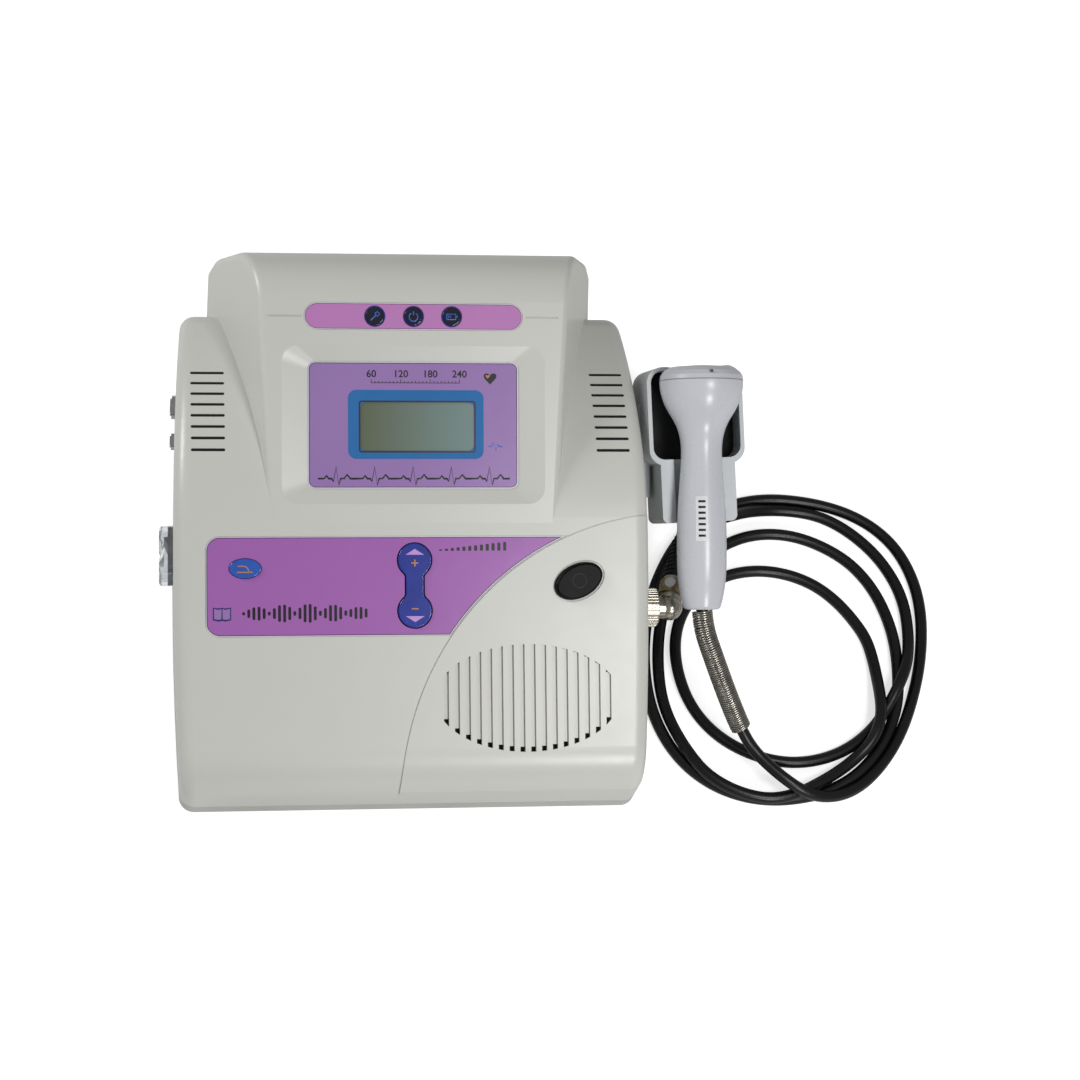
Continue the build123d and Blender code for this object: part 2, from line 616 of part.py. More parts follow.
with BuildPart() as upper_shell:
    add(OUTER)
    add(speaker_panel.part)
    add(cavity.part, mode=Mode.SUBTRACT)
    add(block(level(0), 500, 500, PARTING_Z + PARTING_GAP), mode=Mode.SUBTRACT)
    add(display_recess.part, mode=Mode.SUBTRACT)
    add(block(face_plane(LCD_X, LCD_S, -8), LCD_WIDTH + 1, LCD_LENGTH + 1, 10), mode=Mode.SUBTRACT)
    # posts, bosses and the volume key's lugs
    add(posts.part)
    for x, s in LCD_POSTS:
        add(peg(face_plane(x, s, LIGHT_BACK_N), BOSS_RADIUS, FLOOR_N + 0.8 - LIGHT_BACK_N))
    for x, s in INDICATOR_POSTS:
        seat = INDICATOR_BOARD_N + BOARD_THICKNESS
        add(peg(face_plane(x, s, seat), BOSS_RADIUS, HOOD_INNER_N + 0.8 - seat))
    for x, s in KEY_POSTS:
        add(peg(main_plane(x, s, KEY_BOARD_TOP_N), BOSS_RADIUS, 0.8 - WALL - KEY_BOARD_TOP_N))
    for x, s in SPEAKER_POSTS:
        add(peg(main_plane(x, s, BASKET_EAR_N), BOSS_RADIUS, 0.8 - WALL - BASKET_EAR_N))
    for side in (-1, 1):
        lug_x = VOLUME_X + side * 7.2
        add(block(main_plane(lug_x, VOLUME_S, LUG_END_N), 2.8, 4.4, 0.8 - WALL - LUG_END_N))
    # label and strip pockets, keys, lamps
    add(control_label(LABEL_GAP, LABEL_N, 3), mode=Mode.SUBTRACT)
    add(key_holes.part, mode=Mode.SUBTRACT)
    add(
        block(
            face_plane(0, STRIP_S, RECESS_DEPTH - LABEL_THICKNESS),
            STRIP_LENGTH + 2 * LABEL_GAP,
            STRIP_WIDTH + 2 * LABEL_GAP,
            3,
            STRIP_WIDTH / 2 + LABEL_GAP - 0.01,
        ),
        mode=Mode.SUBTRACT,
    )
    add(peg(face_plane(0, STRIP_S, -3), LAMP_RADIUS, 8, [(x, 0) for x in LAMP_XS]), mode=Mode.SUBTRACT)
    add(grooves.part, mode=Mode.SUBTRACT)
    add(grille_slots.part, mode=Mode.SUBTRACT)
    add(vents.part, mode=Mode.SUBTRACT)
    # walls
    add(peg(wall_plane(-1, *BIG_JACK, -6), 4.6, 12), mode=Mode.SUBTRACT)
    add(peg(wall_plane(-1, *SMALL_JACK, -6), 3.1, 12), mode=Mode.SUBTRACT)
    switch_hole = wall_plane(-1, SWITCH_Y, SWITCH_Z, -6)
    add(block(switch_hole, SWITCH_LENGTH + 0.4, SWITCH_HEIGHT + 0.4, 12), mode=Mode.SUBTRACT)
    add(peg(wall_plane(1, SOCKET_Y, SOCKET_Z, -6), 8.1, 12), mode=Mode.SUBTRACT)
    thread = PANEL_SCREW_RADIUS + SCREW_GAP
    add(peg(wall_plane(1, SOCKET_Y, SOCKET_Z, -6), thread, 12, SOCKET_SCREWS), mode=Mode.SUBTRACT)
    for y, z in HOLDER_SCREWS:
        add(peg(wall_plane(1, y, z, -6), SCREW_RADIUS + SCREW_GAP, 12), mode=Mode.SUBTRACT)
    add(block(rear_wall(INLET_X, INLET_Z, -6), 27.9, 20.4, 12), mode=Mode.SUBTRACT)
    inlet_holes = ((-INLET_SCREW_X, 0), (INLET_SCREW_X, 0))
    add(peg(rear_wall(INLET_X, INLET_Z, -6), thread, 12, inlet_holes), mode=Mode.SUBTRACT)
    add(peg(rear_wall(FUSE_X, INLET_Z, -6), 6.1, 12), mode=Mode.SUBTRACT)
    # screw and pivot holes
    for plane in shell_screw_planes:
        add(peg(plane, BOARD_SCREW_RADIUS + SCREW_GAP, -BOARD_SCREW_LENGTH - 0.2), mode=Mode.SUBTRACT)
    add(peg(level(PARTING_Z), SCREW_RADIUS + SCREW_GAP, 12, CASE_SCREW_POINTS), mode=Mode.SUBTRACT)
    pivot = main_plane(VOLUME_X, VOLUME_S, PIVOT_N)
    pivot_axis = Plane(origin=pivot.origin - Vector(8.5, 0, 0), x_dir=(0, 1, 0), z_dir=(1, 0, 0))
    add(peg(pivot_axis, PIVOT_RADIUS + PIVOT_GAP, 17), mode=Mode.SUBTRACT)
upper_shell.part.label = "upper_shell"

# ------------------------------------------------------------------ base
with BuildPart() as tray_rim:  # the step that the upper shell sits over
    for rim_inset, low, high in (
        (WALL - 0.1, PARTING_Z - 4, PARTING_Z),
        (WALL + 0.15, PARTING_Z - 0.5, PARTING_Z + LIP_HEIGHT),
    ):
        extrude(plan_outline(rim_inset, low, True), amount=high - low)
    extrude(plan_outline(WALL + 0.15 + LIP_THICKNESS, PARTING_Z - 5, True), amount=20, mode=Mode.SUBTRACT)

with BuildPart() as tray_room:
    add(INNER)
    add(block(level(-1), 500, 500, FLOOR_Z + 1), mode=Mode.SUBTRACT)

with BuildPart() as base_tray:
    add(OUTER)
    add(tray_room.part, mode=Mode.SUBTRACT)
    add(block(level(FOOT_HEIGHT), 500, 500, PARTING_Z - FOOT_HEIGHT), mode=Mode.INTERSECT)
    add(tray_rim.part)
    add(peg(level(FOOT_HEIGHT), POST_RADIUS + 0.7, PARTING_Z - FOOT_HEIGHT, CASE_SCREW_POINTS))
    add(peg(level(FOOT_HEIGHT + 0.5), 3.5, MAIN_BOARD_Z - FOOT_HEIGHT - 0.5, MAIN_BOARD_POSTS))
    add(peg(level(0), FOOT_RADIUS + 0.1, FOOT_HEIGHT + FOOT_SEAT, FOOT_POINTS), mode=Mode.SUBTRACT)
    add(peg(level(0), SCREW_HEAD_RADIUS + 0.3, CASE_SCREW_SEAT, CASE_SCREW_POINTS), mode=Mode.SUBTRACT)
    add(peg(level(0), SCREW_RADIUS + SCREW_GAP, 30, CASE_SCREW_POINTS), mode=Mode.SUBTRACT)
    for plane in tray_screw_planes:
        add(peg(plane, BOARD_SCREW_RADIUS + SCREW_GAP, -BOARD_SCREW_LENGTH - 0.2), mode=Mode.SUBTRACT)
base_tray.part.label = "base_tray"

with BuildPart() as rubber_feet:
    add(peg(level(0), FOOT_RADIUS, FOOT_HEIGHT + FOOT_SEAT, FOOT_POINTS))
    fillet(rubber_feet.edges().group_by(Axis.Z)[0], 0.8)
rubber_feet.part.label = "rubber_feet"

with BuildPart() as case_screws:
    case_screw_length = PARTING_Z + CASE_SCREW_GRIP - CASE_SCREW_SEAT
    for x, y in CASE_SCREW_POINTS:
        seat = under(level(CASE_SCREW_SEAT, x, y))
        add(screw(seat, SCREW_RADIUS, case_screw_length, SCREW_HEAD_RADIUS, SCREW_HEAD))
case_screws.part.label = "case_screws"

with BuildPart() as board_screws:
    for plane in shell_screw_planes + tray_screw_planes:
        add(
            screw(plane, BOARD_SCREW_RADIUS, BOARD_SCREW_LENGTH, BOARD_SCREW_HEAD_RADIUS, BOARD_SCREW_HEAD)
        )
board_screws.part.label = "board_screws"

# ------------------------------------------------------------------ display
with BuildPart() as display_overlay:
    add(block(face_plane(0, DISPLAY_S, LABEL_N), DISPLAY_WIDTH, DISPLAY_LENGTH, LABEL_THICKNESS, 3.5))
    add(block(face_plane(LCD_X, LCD_S, LABEL_N), LCD_VIEW_WIDTH, LCD_VIEW_LENGTH, 1, 0.8), mode=Mode.SUBTRACT)
display_overlay.part.label = "display_overlay"

with BuildPart() as lcd_glass:
    add(block(face_plane(LCD_X, LCD_S, LCD_BACK_N), LCD_WIDTH, LCD_LENGTH, LCD_THICKNESS))
lcd_glass.part.label = "lcd_glass"

with BuildPart() as lcd_backlight:
    add(block(face_plane(LCD_X, LCD_S, LIGHT_BACK_N), LCD_WIDTH, LCD_LENGTH, BACKLIGHT_THICKNESS, 1))
lcd_backlight.part.label = "lcd_backlight"

with BuildPart() as lcd_board:
    add(block(face_plane(0, DISPLAY_S, LCD_BOARD_N), LCD_BOARD_WIDTH, LCD_BOARD_LENGTH, BOARD_THICKNESS, 1.5))
    for plane in shell_screw_planes[:4]:
        add(peg(plane, BOARD_SCREW_RADIUS + SCREW_GAP, -3), mode=Mode.SUBTRACT)
lcd_board.part.label = "lcd_board"

# ------------------------------------------------------------------ indicator strip
with BuildPart() as indicator_overlay:
    strip_n = RECESS_DEPTH - LABEL_THICKNESS
    end_round = STRIP_WIDTH / 2 - 0.01
    add(block(face_plane(0, STRIP_S, strip_n), STRIP_LENGTH, STRIP_WIDTH, LABEL_THICKNESS, end_round))
    add(peg(face_plane(0, STRIP_S, 0), LAMP_RADIUS, 5, [(x, 0) for x in LAMP_XS]), mode=Mode.SUBTRACT)
indicator_overlay.part.label = "indicator_overlay"

with BuildPart() as indicator_lenses:
    lens_points = [(x, 0) for x in LAMP_XS]
    add(peg(face_plane(0, STRIP_S, HOOD_INNER_N - 1.2), LAMP_RADIUS - 0.1, WALL + 1.3, lens_points))
    fillet(indicator_lenses.edges().sort_by(Axis((0, 0, 0), tuple(NORMAL)))[-3:], 0.5)
    add(peg(face_plane(0, STRIP_S, HOOD_INNER_N - 1.2), LAMP_RADIUS + 1.2, 1.2, lens_points))
indicator_lenses.part.label = "indicator_lenses"

with BuildPart() as indicator_board:
    add(block(face_plane(0, STRIP_S, INDICATOR_BOARD_N), 66, 12, BOARD_THICKNESS, 1))
    for x in LAMP_XS:  # a lamp under each lens
        add(peg(face_plane(x, STRIP_S, INDICATOR_BOARD_N), 1.5, 5.4))
    for plane in shell_screw_planes[4:6]:
        add(peg(plane, BOARD_SCREW_RADIUS + SCREW_GAP, -3), mode=Mode.SUBTRACT)
indicator_board.part.label = "indicator_board"

# ------------------------------------------------------------------ lower label and keys
with BuildPart() as control_overlay:
    add(control_label(0, LABEL_N, LABEL_THICKNESS))
    add(key_holes.part, mode=Mode.SUBTRACT)
control_overlay.part.label = "control_overlay"

with BuildPart() as filter_key:
    filter_base = main_plane(FILTER_X, FILTER_S, FILTER_BACK_N)
    add(oval(filter_base, FILTER_HALF_LENGTH, FILTER_HALF_WIDTH, KEY_PROUD - FILTER_BACK_N))
    fillet(filter_key.edges().sort_by(Axis((0, 0, 0), tuple(slope_normal(MAIN_SLOPE))))[-1], 0.5)
    add(oval(filter_base, FILTER_HALF_LENGTH + 1.2, FILTER_HALF_WIDTH + 1.2, FLANGE))
filter_key.part.label = "filter_key"

with BuildPart() as volume_key:
    add(dumbbell(main_plane(VOLUME_X, VOLUME_S, VOLUME_BACK_N), 0, KEY_PROUD - VOLUME_BACK_N))
    fillet(volume_key.faces().sort_by(Axis((0, 0, 0), tuple(slope_normal(MAIN_SLOPE))))[-1].edges(), 0.5)
    add(dumbbell(main_plane(VOLUME_X, VOLUME_S, VOLUME_BACK_N), 1.0, FLANGE))
    pin_start = Plane(origin=pivot.origin - Vector(8.4, 0, 0), x_dir=(0, 1, 0), z_dir=(1, 0, 0))
    add(peg(pin_start, PIVOT_RADIUS, 16.8))
volume_key.part.label = "volume_key"

with BuildPart() as start_button:
    start_base = main_plane(START_X, START_S, START_BACK_N, START_TILT)
    start_top_n = PANEL_RISE + START_PROUD
    add(oval(start_base, START_HALF_LENGTH, START_HALF_WIDTH, start_top_n - START_BACK_N))
    fillet(start_button.edges().sort_by(Axis((0, 0, 0), tuple(slope_normal(MAIN_SLOPE))))[-1], 1.4)
    add(oval(start_base, START_HALF_LENGTH + 1.3, START_HALF_WIDTH + 1.3, 1.4))
start_button.part.label = "start_button"

with BuildPart() as key_board:
    add(block(main_plane(1, -58, KEY_BOARD_N), 196, 42, BOARD_THICKNESS, 2))
    for plane in shell_screw_planes[6:12]:
        add(peg(plane, BOARD_SCREW_RADIUS + SCREW_GAP, -3), mode=Mode.SUBTRACT)
key_board.part.label = "key_board"

SWITCHES = (
    (FILTER_X, FILTER_S, FILTER_SWITCH_N),
    (VOLUME_X, VOLUME_S - VOLUME_SPAN / 2, VOLUME_SWITCH_N),
    (VOLUME_X, VOLUME_S + VOLUME_SPAN / 2, VOLUME_SWITCH_N),
    (START_X, START_S, START_SWITCH_N),
)
with BuildPart() as key_switches:
    for x, s, top_n in SWITCHES:
        add(block(main_plane(x, s, KEY_BOARD_TOP_N), 6, 6, 3.2))
        add(peg(main_plane(x, s, KEY_BOARD_TOP_N), 1.7, top_n - KEY_BOARD_TOP_N))
key_switches.part.label = "key_switches"

# ------------------------------------------------------------------ speaker
with BuildPart() as speaker_cloth:
    add(oval(main_plane(GRILLE_X, GRILLE_S, BASKET_FRONT_N), 46.4, 27.4, 0.4))
    add(INNER, mode=Mode.INTERSECT)
speaker_cloth.part.label = "speaker_cloth"

with BuildPart() as speaker_basket:
    add(oval(main_plane(GRILLE_X, GRILLE_S, BASKET_RIM_N), 46.4, 27, BASKET_FRONT_N - BASKET_RIM_N))
    add(
        block(
            main_plane(GRILLE_X, GRILLE_S, BASKET_RIM_N),
            8.4,
            13,
            BASKET_EAR_N - BASKET_RIM_N,
            2,
            [(i * EAR_X, j * (EAR_S - 2.3)) for i in (-1, 1) for j in (-1, 1)],
        )
    )
    with BuildSketch(main_plane(GRILLE_X, GRILLE_S, BASKET_RIM_N)):
        Ellipse(45, 25.6)
    with BuildSketch(main_plane(GRILLE_X, GRILLE_S, BASKET_BACK_N)):
        Circle(19)
    loft()
    add(oval(main_plane(GRILLE_X, GRILLE_S, BASKET_RIM_N), 43.4, 24, 10), mode=Mode.SUBTRACT)
    with BuildSketch(main_plane(GRILLE_X, GRILLE_S, BASKET_RIM_N)):
        Ellipse(43.4, 24)
    with BuildSketch(main_plane(GRILLE_X, GRILLE_S, BASKET_BACK_N + 1.5)):
        Circle(17.5)
    loft(mode=Mode.SUBTRACT)
    for plane in shell_screw_planes[12:]:
        add(peg(plane, BOARD_SCREW_RADIUS + SCREW_GAP, -3), mode=Mode.SUBTRACT)
speaker_basket.part.label = "speaker_basket"

with BuildPart() as speaker_cone:
    add(oval(main_plane(GRILLE_X, GRILLE_S, BASKET_RIM_N), 43.2, 23.8, 0.6))
    with BuildSketch(main_plane(GRILLE_X, GRILLE_S, BASKET_RIM_N + 0.3)):
        Ellipse(40, 20.6)
    with BuildSketch(main_plane(GRILLE_X, GRILLE_S, -18)):
        Circle(9.6)
    loft()
    with BuildSketch(main_plane(GRILLE_X, GRILLE_S, BASKET_RIM_N + 0.7)):
        Ellipse(39.6, 20.2)
    with BuildSketch(main_plane(GRILLE_X, GRILLE_S, -17.2)):
        Circle(9)
    loft(mode=Mode.SUBTRACT)
    add(peg(main_plane(GRILLE_X, GRILLE_S, BASKET_BACK_N + 1.8), 9.6, -16.4 - BASKET_BACK_N))
speaker_cone.part.label = "speaker_cone"

with BuildPart() as speaker_magnet:
    add(peg(main_plane(GRILLE_X, GRILLE_S, MAGNET_BACK_N), 18, BASKET_BACK_N - MAGNET_BACK_N))
    fillet(speaker_magnet.edges(), 0.8)
speaker_magnet.part.label = "speaker_magnet"

# ------------------------------------------------------------------ electronics on the tray
with BuildPart() as main_board:
    add(block(level(MAIN_BOARD_Z, -20, 25), 150, 90, BOARD_THICKNESS, 2))
    for plane in tray_screw_planes:
        add(peg(plane, BOARD_SCREW_RADIUS + SCREW_GAP, -3), mode=Mode.SUBTRACT)
main_board.part.label = "main_board"

BOARD_TOP_Z = MAIN_BOARD_Z + BOARD_THICKNESS
with BuildPart() as board_chips:
    for x, y, width, length, height in (
        (-50, 35, 20, 20, 2.2),
        (-10, 40, 14, 14, 2.0),
        (-20, 5, 18, 8, 3.0),
        (-70, 5, 10, 8, 2.4),
        (20, 60, 30, 6, 9.0),
        (30, 5, 24, 12, 14.0),
    ):
        add(block(level(BOARD_TOP_Z, x, y), width, length, height))
board_chips.part.label = "board_chips"

with BuildPart() as capacitors:
    add(peg(level(BOARD_TOP_Z), 5, 20, [(45, y) for y in (20, 33, 46)]))
    fillet(capacitors.edges().group_by(Axis.Z)[-1], 0.6)
capacitors.part.label = "capacitors"

with BuildPart() as transformer_core:
    core_plane = upright(82, 36, FLOOR_Z + 18)  # the laminations lie across X
    with BuildSketch(Plane(origin=core_plane.origin, x_dir=(1, 0, 0), z_dir=(0, -1, 0))):
        Rectangle(40, 36)
        with Locations((-10.5, 0), (10.5, 0)):
            Rectangle(9, 20, mode=Mode.SUBTRACT)
    extrude(amount=10, both=True)
transformer_core.part.label = "transformer_core"

with BuildPart() as transformer_coil:
    add(block(level(FLOOR_Z + 8.2, 82, 36), 29.4, 40, 19.6, 2))
    add(block(level(FLOOR_Z, 82, 36), 12.2, 20.2, 40), mode=Mode.SUBTRACT)
transformer_coil.part.label = "transformer_coil"

BATTERY_X = -51.5
BATTERY_Y = -90.0
CELL_RADIUS = 7.2
CELL_LENGTH = 50.4
with BuildPart() as battery_holder:
    add(block(level(FLOOR_Z, BATTERY_X, BATTERY_Y), 90, 54, 8.5, 2))
    add(block(level(FLOOR_Z + 1, BATTERY_X, BATTERY_Y), 88, 51.6, 20, 1), mode=Mode.SUBTRACT)
battery_holder.part.label = "battery_holder"

with BuildPart() as battery_cells:
    for k in range(6):
        x = BATTERY_X + (k - 2.5) * 14.55
        origin = in_case(x, BATTERY_Y - CELL_LENGTH / 2, FLOOR_Z + 1 + CELL_RADIUS)
        along_y = Plane(origin=origin, x_dir=(1, 0, 0), z_dir=(0, 1, 0))
        add(peg(along_y, CELL_RADIUS, CELL_LENGTH - 1))
        add(peg(along_y, 2.6, CELL_LENGTH))
battery_cells.part.label = "battery_cells"

# ------------------------------------------------------------------ left wall: two jacks and the mains switch
BIG_JACK_DEPTH = 15.4
SMALL_JACK_DEPTH = 11.4
behind_wall = -WALL - 0.1
with BuildPart() as record_jack:
    add(block(wall_plane(-1, *BIG_JACK, behind_wall - BIG_JACK_DEPTH), 15, 15, BIG_JACK_DEPTH, 1))
    add(peg(wall_plane(-1, *BIG_JACK, -4), 4.5, 7))
    add(peg(wall_plane(-1, *BIG_JACK, -11), 3.2, 20), mode=Mode.SUBTRACT)
record_jack.part.label = "record_jack"

with BuildPart() as headphone_jack:
    add(block(wall_plane(-1, *SMALL_JACK, behind_wall - SMALL_JACK_DEPTH), 11, 11, SMALL_JACK_DEPTH, 1))
    add(peg(wall_plane(-1, *SMALL_JACK, -4), 3, 6.5))
    add(peg(wall_plane(-1, *SMALL_JACK, -10), 1.8, 20), mode=Mode.SUBTRACT)
headphone_jack.part.label = "headphone_jack"

with BuildPart() as jack_nuts:
    for plane, barrel, nut, height in ((big_jack_plane, 4.5, 6.0, 2.2), (small_jack_plane, 3.0, 4.2, 1.8)):
        with BuildSketch(plane):
            Circle(nut)
            Circle(barrel + 0.05, mode=Mode.SUBTRACT)
        extrude(amount=height)
jack_nuts.part.label = "jack_nuts"

SWITCH_OPENING = (SWITCH_LENGTH - 2.4, SWITCH_HEIGHT - 2.8)
RIM_LENGTH = SWITCH_LENGTH + 2 * SWITCH_BEZEL
RIM_HEIGHT = SWITCH_HEIGHT + 2 * SWITCH_BEZEL + 0.2
SWITCH_RIM = 2.5  # how far the switch's rim stands off the wall
ROCKER_PIVOT_N = -1.5
ROCKER_TILT = 9.0
with BuildPart() as switch_frame:
    add(block(wall_plane(-1, SWITCH_Y, SWITCH_Z, -20), SWITCH_LENGTH, SWITCH_HEIGHT, 20, 1))
    add(block(switch_plane, RIM_LENGTH, RIM_HEIGHT, SWITCH_RIM, 1.5))
    add(block(wall_plane(-1, SWITCH_Y, SWITCH_Z, -14), *SWITCH_OPENING, 30, 0.8), mode=Mode.SUBTRACT)
    bore = wall_plane(-1, SWITCH_Y, SWITCH_Z, ROCKER_PIVOT_N)
    bore_half = SWITCH_HEIGHT / 2 - 0.5
    rocker_axis = Plane(origin=bore.origin - Vector(0, 0, bore_half), x_dir=(1, 0, 0), z_dir=(0, 0, 1))
    add(peg(rocker_axis, PIVOT_RADIUS + PIVOT_GAP, 2 * bore_half), mode=Mode.SUBTRACT)
switch_frame.part.label = "switch_frame"

with BuildPart() as power_rocker:  # tilted to its first position; it swings through twice ROCKER_TILT
    lean = radians(-ROCKER_TILT)
    along = bore.x_dir * cos(lean) + bore.z_dir * sin(lean)
    with BuildSketch(Plane(origin=bore.origin, x_dir=along, z_dir=(0, 0, -1))):
        end = SWITCH_OPENING[0] / 2 - 1.1
        half_side = [(0, 2.6), (end, 4.6), (end, 0.5), (end - 3.2, -6)]
        Polygon(*half_side, *[(-x, n) for x, n in reversed(half_side[1:])], align=None)
    extrude(amount=SWITCH_OPENING[1] / 2 - 0.5, both=True)
    pin_half = bore_half - 0.1
    pin_start = Plane(origin=bore.origin - Vector(0, 0, pin_half), x_dir=(1, 0, 0), z_dir=(0, 0, 1))
    add(peg(pin_start, PIVOT_RADIUS, 2 * pin_half))
power_rocker.part.label = "power_rocker"

BOOT_SKIN = 1.0
DIP_RADIUS = 10.0  # of the hollow across the boot's middle
DIP_DEPTH = 1.6
dip_middle = wall_plane(-1, SWITCH_Y, SWITCH_Z, BOOT_REACH + DIP_RADIUS - DIP_DEPTH).origin
dip_axis = Plane(origin=dip_middle - Vector(0, 0, 15), x_dir=(1, 0, 0), z_dir=(0, 0, 1))
with BuildPart() as boot_room:
    add(block(switch_plane, RIM_LENGTH - 3.4, RIM_HEIGHT - 2.9, BOOT_REACH - BOOT_SKIN, 2))
    add(peg(dip_axis, DIP_RADIUS + BOOT_SKIN, 30), mode=Mode.SUBTRACT)

with BuildPart() as switch_boot:
    add(block(switch_plane, RIM_LENGTH + 1.6, RIM_HEIGHT + 1.9, BOOT_REACH, 3.2))
    fillet(switch_boot.faces().sort_by(Axis.X)[0].edges(), 2)
    add(peg(dip_axis, DIP_RADIUS, 30), mode=Mode.SUBTRACT)
    add(block(switch_plane, RIM_LENGTH + 0.1, RIM_HEIGHT + 0.1, SWITCH_RIM + 0.05, 1.55), mode=Mode.SUBTRACT)
    add(boot_room.part, mode=Mode.SUBTRACT)
switch_boot.part.label = "switch_boot"

# ------------------------------------------------------------------ right wall: probe socket and plug
COLLAR_RADIUS = 7.5
NOSE_RADIUS = 5.9
NOSE_GAP = 0.1
COLLAR_END_N = 8.0
ELBOW_N = 17.0
RING_START_N = 2.6
RING_END_N = 10.4
with BuildPart() as probe_socket:
    add(block(socket_plane, 24, 24, 2, 2.5))
    add(peg(wall_plane(1, SOCKET_Y, SOCKET_Z, -14), 8, 15))
    add(peg(socket_plane, COLLAR_RADIUS, COLLAR_END_N))
    add(peg(wall_plane(1, SOCKET_Y, SOCKET_Z, -10), NOSE_RADIUS + NOSE_GAP, 30), mode=Mode.SUBTRACT)
    behind_flange = wall_plane(1, SOCKET_Y, SOCKET_Z, -1)
    add(peg(behind_flange, PANEL_SCREW_RADIUS + SCREW_GAP, 5, SOCKET_SCREWS), mode=Mode.SUBTRACT)
probe_socket.part.label = "probe_socket"

INLET_FLANGE = 1.8
with BuildPart() as panel_screws:  # four in the socket's flange, two sunk in the inlet's
    socket_seat = wall_plane(1, SOCKET_Y, SOCKET_Z, 2)
    inlet_seat = rear_wall(INLET_X, INLET_Z, INLET_FLANGE - PANEL_SCREW_HEAD)
    for seat, places in ((socket_seat, SOCKET_SCREWS), (inlet_seat, inlet_holes)):
        for along_wall, up_wall in places:
            origin = seat.origin + seat.x_dir * along_wall + seat.y_dir * up_wall
            place = Plane(origin=origin, x_dir=seat.x_dir, z_dir=seat.z_dir)
            add(screw(place, PANEL_SCREW_RADIUS, 6, PANEL_SCREW_HEAD_RADIUS, PANEL_SCREW_HEAD))
panel_screws.part.label = "panel_screws"

with BuildPart() as plug_ring:
    ring_start = wall_plane(1, SOCKET_Y, SOCKET_Z, RING_START_N)
    add(peg(ring_start, 9.5, RING_END_N - RING_START_N))
    fillet(plug_ring.edges(), 0.6)
    add(peg(ring_start, COLLAR_RADIUS + 0.08, COLLAR_END_N + 0.4 - RING_START_N), mode=Mode.SUBTRACT)
    add(peg(socket_plane, NOSE_RADIUS + NOSE_GAP, 20), mode=Mode.SUBTRACT)
plug_ring.part.label = "plug_ring"

elbow = wall_plane(1, SOCKET_Y, SOCKET_Z, ELBOW_N).origin
ARM = Vector(0.258, 0.966, 0.0).normalized()
ARM_RADIUS = 5.5
ARM_LENGTH = 15.7
PLUG_BOOT_LENGTH = 24.0
CLAMP_START = 6.5
CLAMP_LENGTH = 7.0
screw_side = Vector(-0.34, 0, 0.94)
screw_side = (screw_side - ARM * screw_side.dot(ARM)).normalized()
clamp_middle = elbow + ARM * (CLAMP_START + CLAMP_LENGTH / 2)


def arm_plane(distance):
    """Plane across the plug's arm, this far from its elbow."""
    return Plane(origin=elbow + ARM * distance, x_dir=screw_side, z_dir=ARM)


def clamp_screw_plane(height):
    """Plane across the clamp's screw, this far from the arm's axis."""
    return Plane(origin=clamp_middle + screw_side * height, x_dir=ARM, z_dir=screw_side)


with BuildPart() as plug_body:
    add(peg(wall_plane(1, SOCKET_Y, SOCKET_Z, -8), NOSE_RADIUS, 8 + ELBOW_N))
    with Locations(Plane(elbow)):
        Sphere(6.6)
    add(peg(arm_plane(0), ARM_RADIUS, ARM_LENGTH))
    add(peg(clamp_screw_plane(2.9), 1.25, 5), mode=Mode.SUBTRACT)
plug_body.part.label = "plug_body"

with BuildPart() as plug_clamp:
    add(peg(arm_plane(CLAMP_START), 6.7, CLAMP_LENGTH))
    add(peg(clamp_screw_plane(5.6), 3.2, 1.8))
    add(peg(arm_plane(CLAMP_START - 1), ARM_RADIUS, CLAMP_LENGTH + 2), mode=Mode.SUBTRACT)
    add(peg(clamp_screw_plane(4), 1.25, 5), mode=Mode.SUBTRACT)
plug_clamp.part.label = "plug_clamp"

with BuildPart() as clamp_screw:
    add(screw(clamp_screw_plane(7.4), 1.2, 4.2, 2.7, 1.3))
clamp_screw.part.label = "clamp_screw"

with BuildPart() as plug_boot:
    with BuildSketch(arm_plane(ARM_LENGTH)):
        Circle(5.1)
    with BuildSketch(arm_plane(ARM_LENGTH + PLUG_BOOT_LENGTH)):
        Circle(3.7)
    loft()
plug_boot.part.label = "plug_boot"

# ------------------------------------------------------------------ rear wall: mains inlet and fuse
with BuildPart() as mains_inlet:
    add(block(rear_wall(INLET_X, INLET_Z), 50, 23, INLET_FLANGE, 3))
    add(block(rear_wall(INLET_X, INLET_Z, -18), 27.5, 20, 18.5, 2))
    add(block(rear_wall(INLET_X, INLET_Z, -16), 24.3, 16.6, 30, 2), mode=Mode.SUBTRACT)
    behind_inlet = rear_wall(INLET_X, INLET_Z, -5)
    add(peg(behind_inlet, PANEL_SCREW_RADIUS + SCREW_GAP, 12, inlet_holes), mode=Mode.SUBTRACT)
    screw_seat = rear_wall(INLET_X, INLET_Z, INLET_FLANGE - PANEL_SCREW_HEAD)
    add(peg(screw_seat, PANEL_SCREW_HEAD_RADIUS + 0.1, 5, inlet_holes), mode=Mode.SUBTRACT)
mains_inlet.part.label = "mains_inlet"

with BuildPart() as inlet_pins:
    pin_points = [(-7, -1), (0, 3), (7, -1)]
    add(block(rear_wall(INLET_X, INLET_Z, -16), 2, 4, 13, 0.4, pin_points))
inlet_pins.part.label = "inlet_pins"

with BuildPart() as fuse_holder:
    add(peg(rear_wall(FUSE_X, INLET_Z, -30), 6, 31))
    add(peg(rear_wall(FUSE_X, INLET_Z), 7.5, INLET_FLANGE))
    add(block(rear_wall(FUSE_X, INLET_Z, INLET_FLANGE - 0.9), 9, 1.4, 3), mode=Mode.SUBTRACT)
fuse_holder.part.label = "fuse_holder"

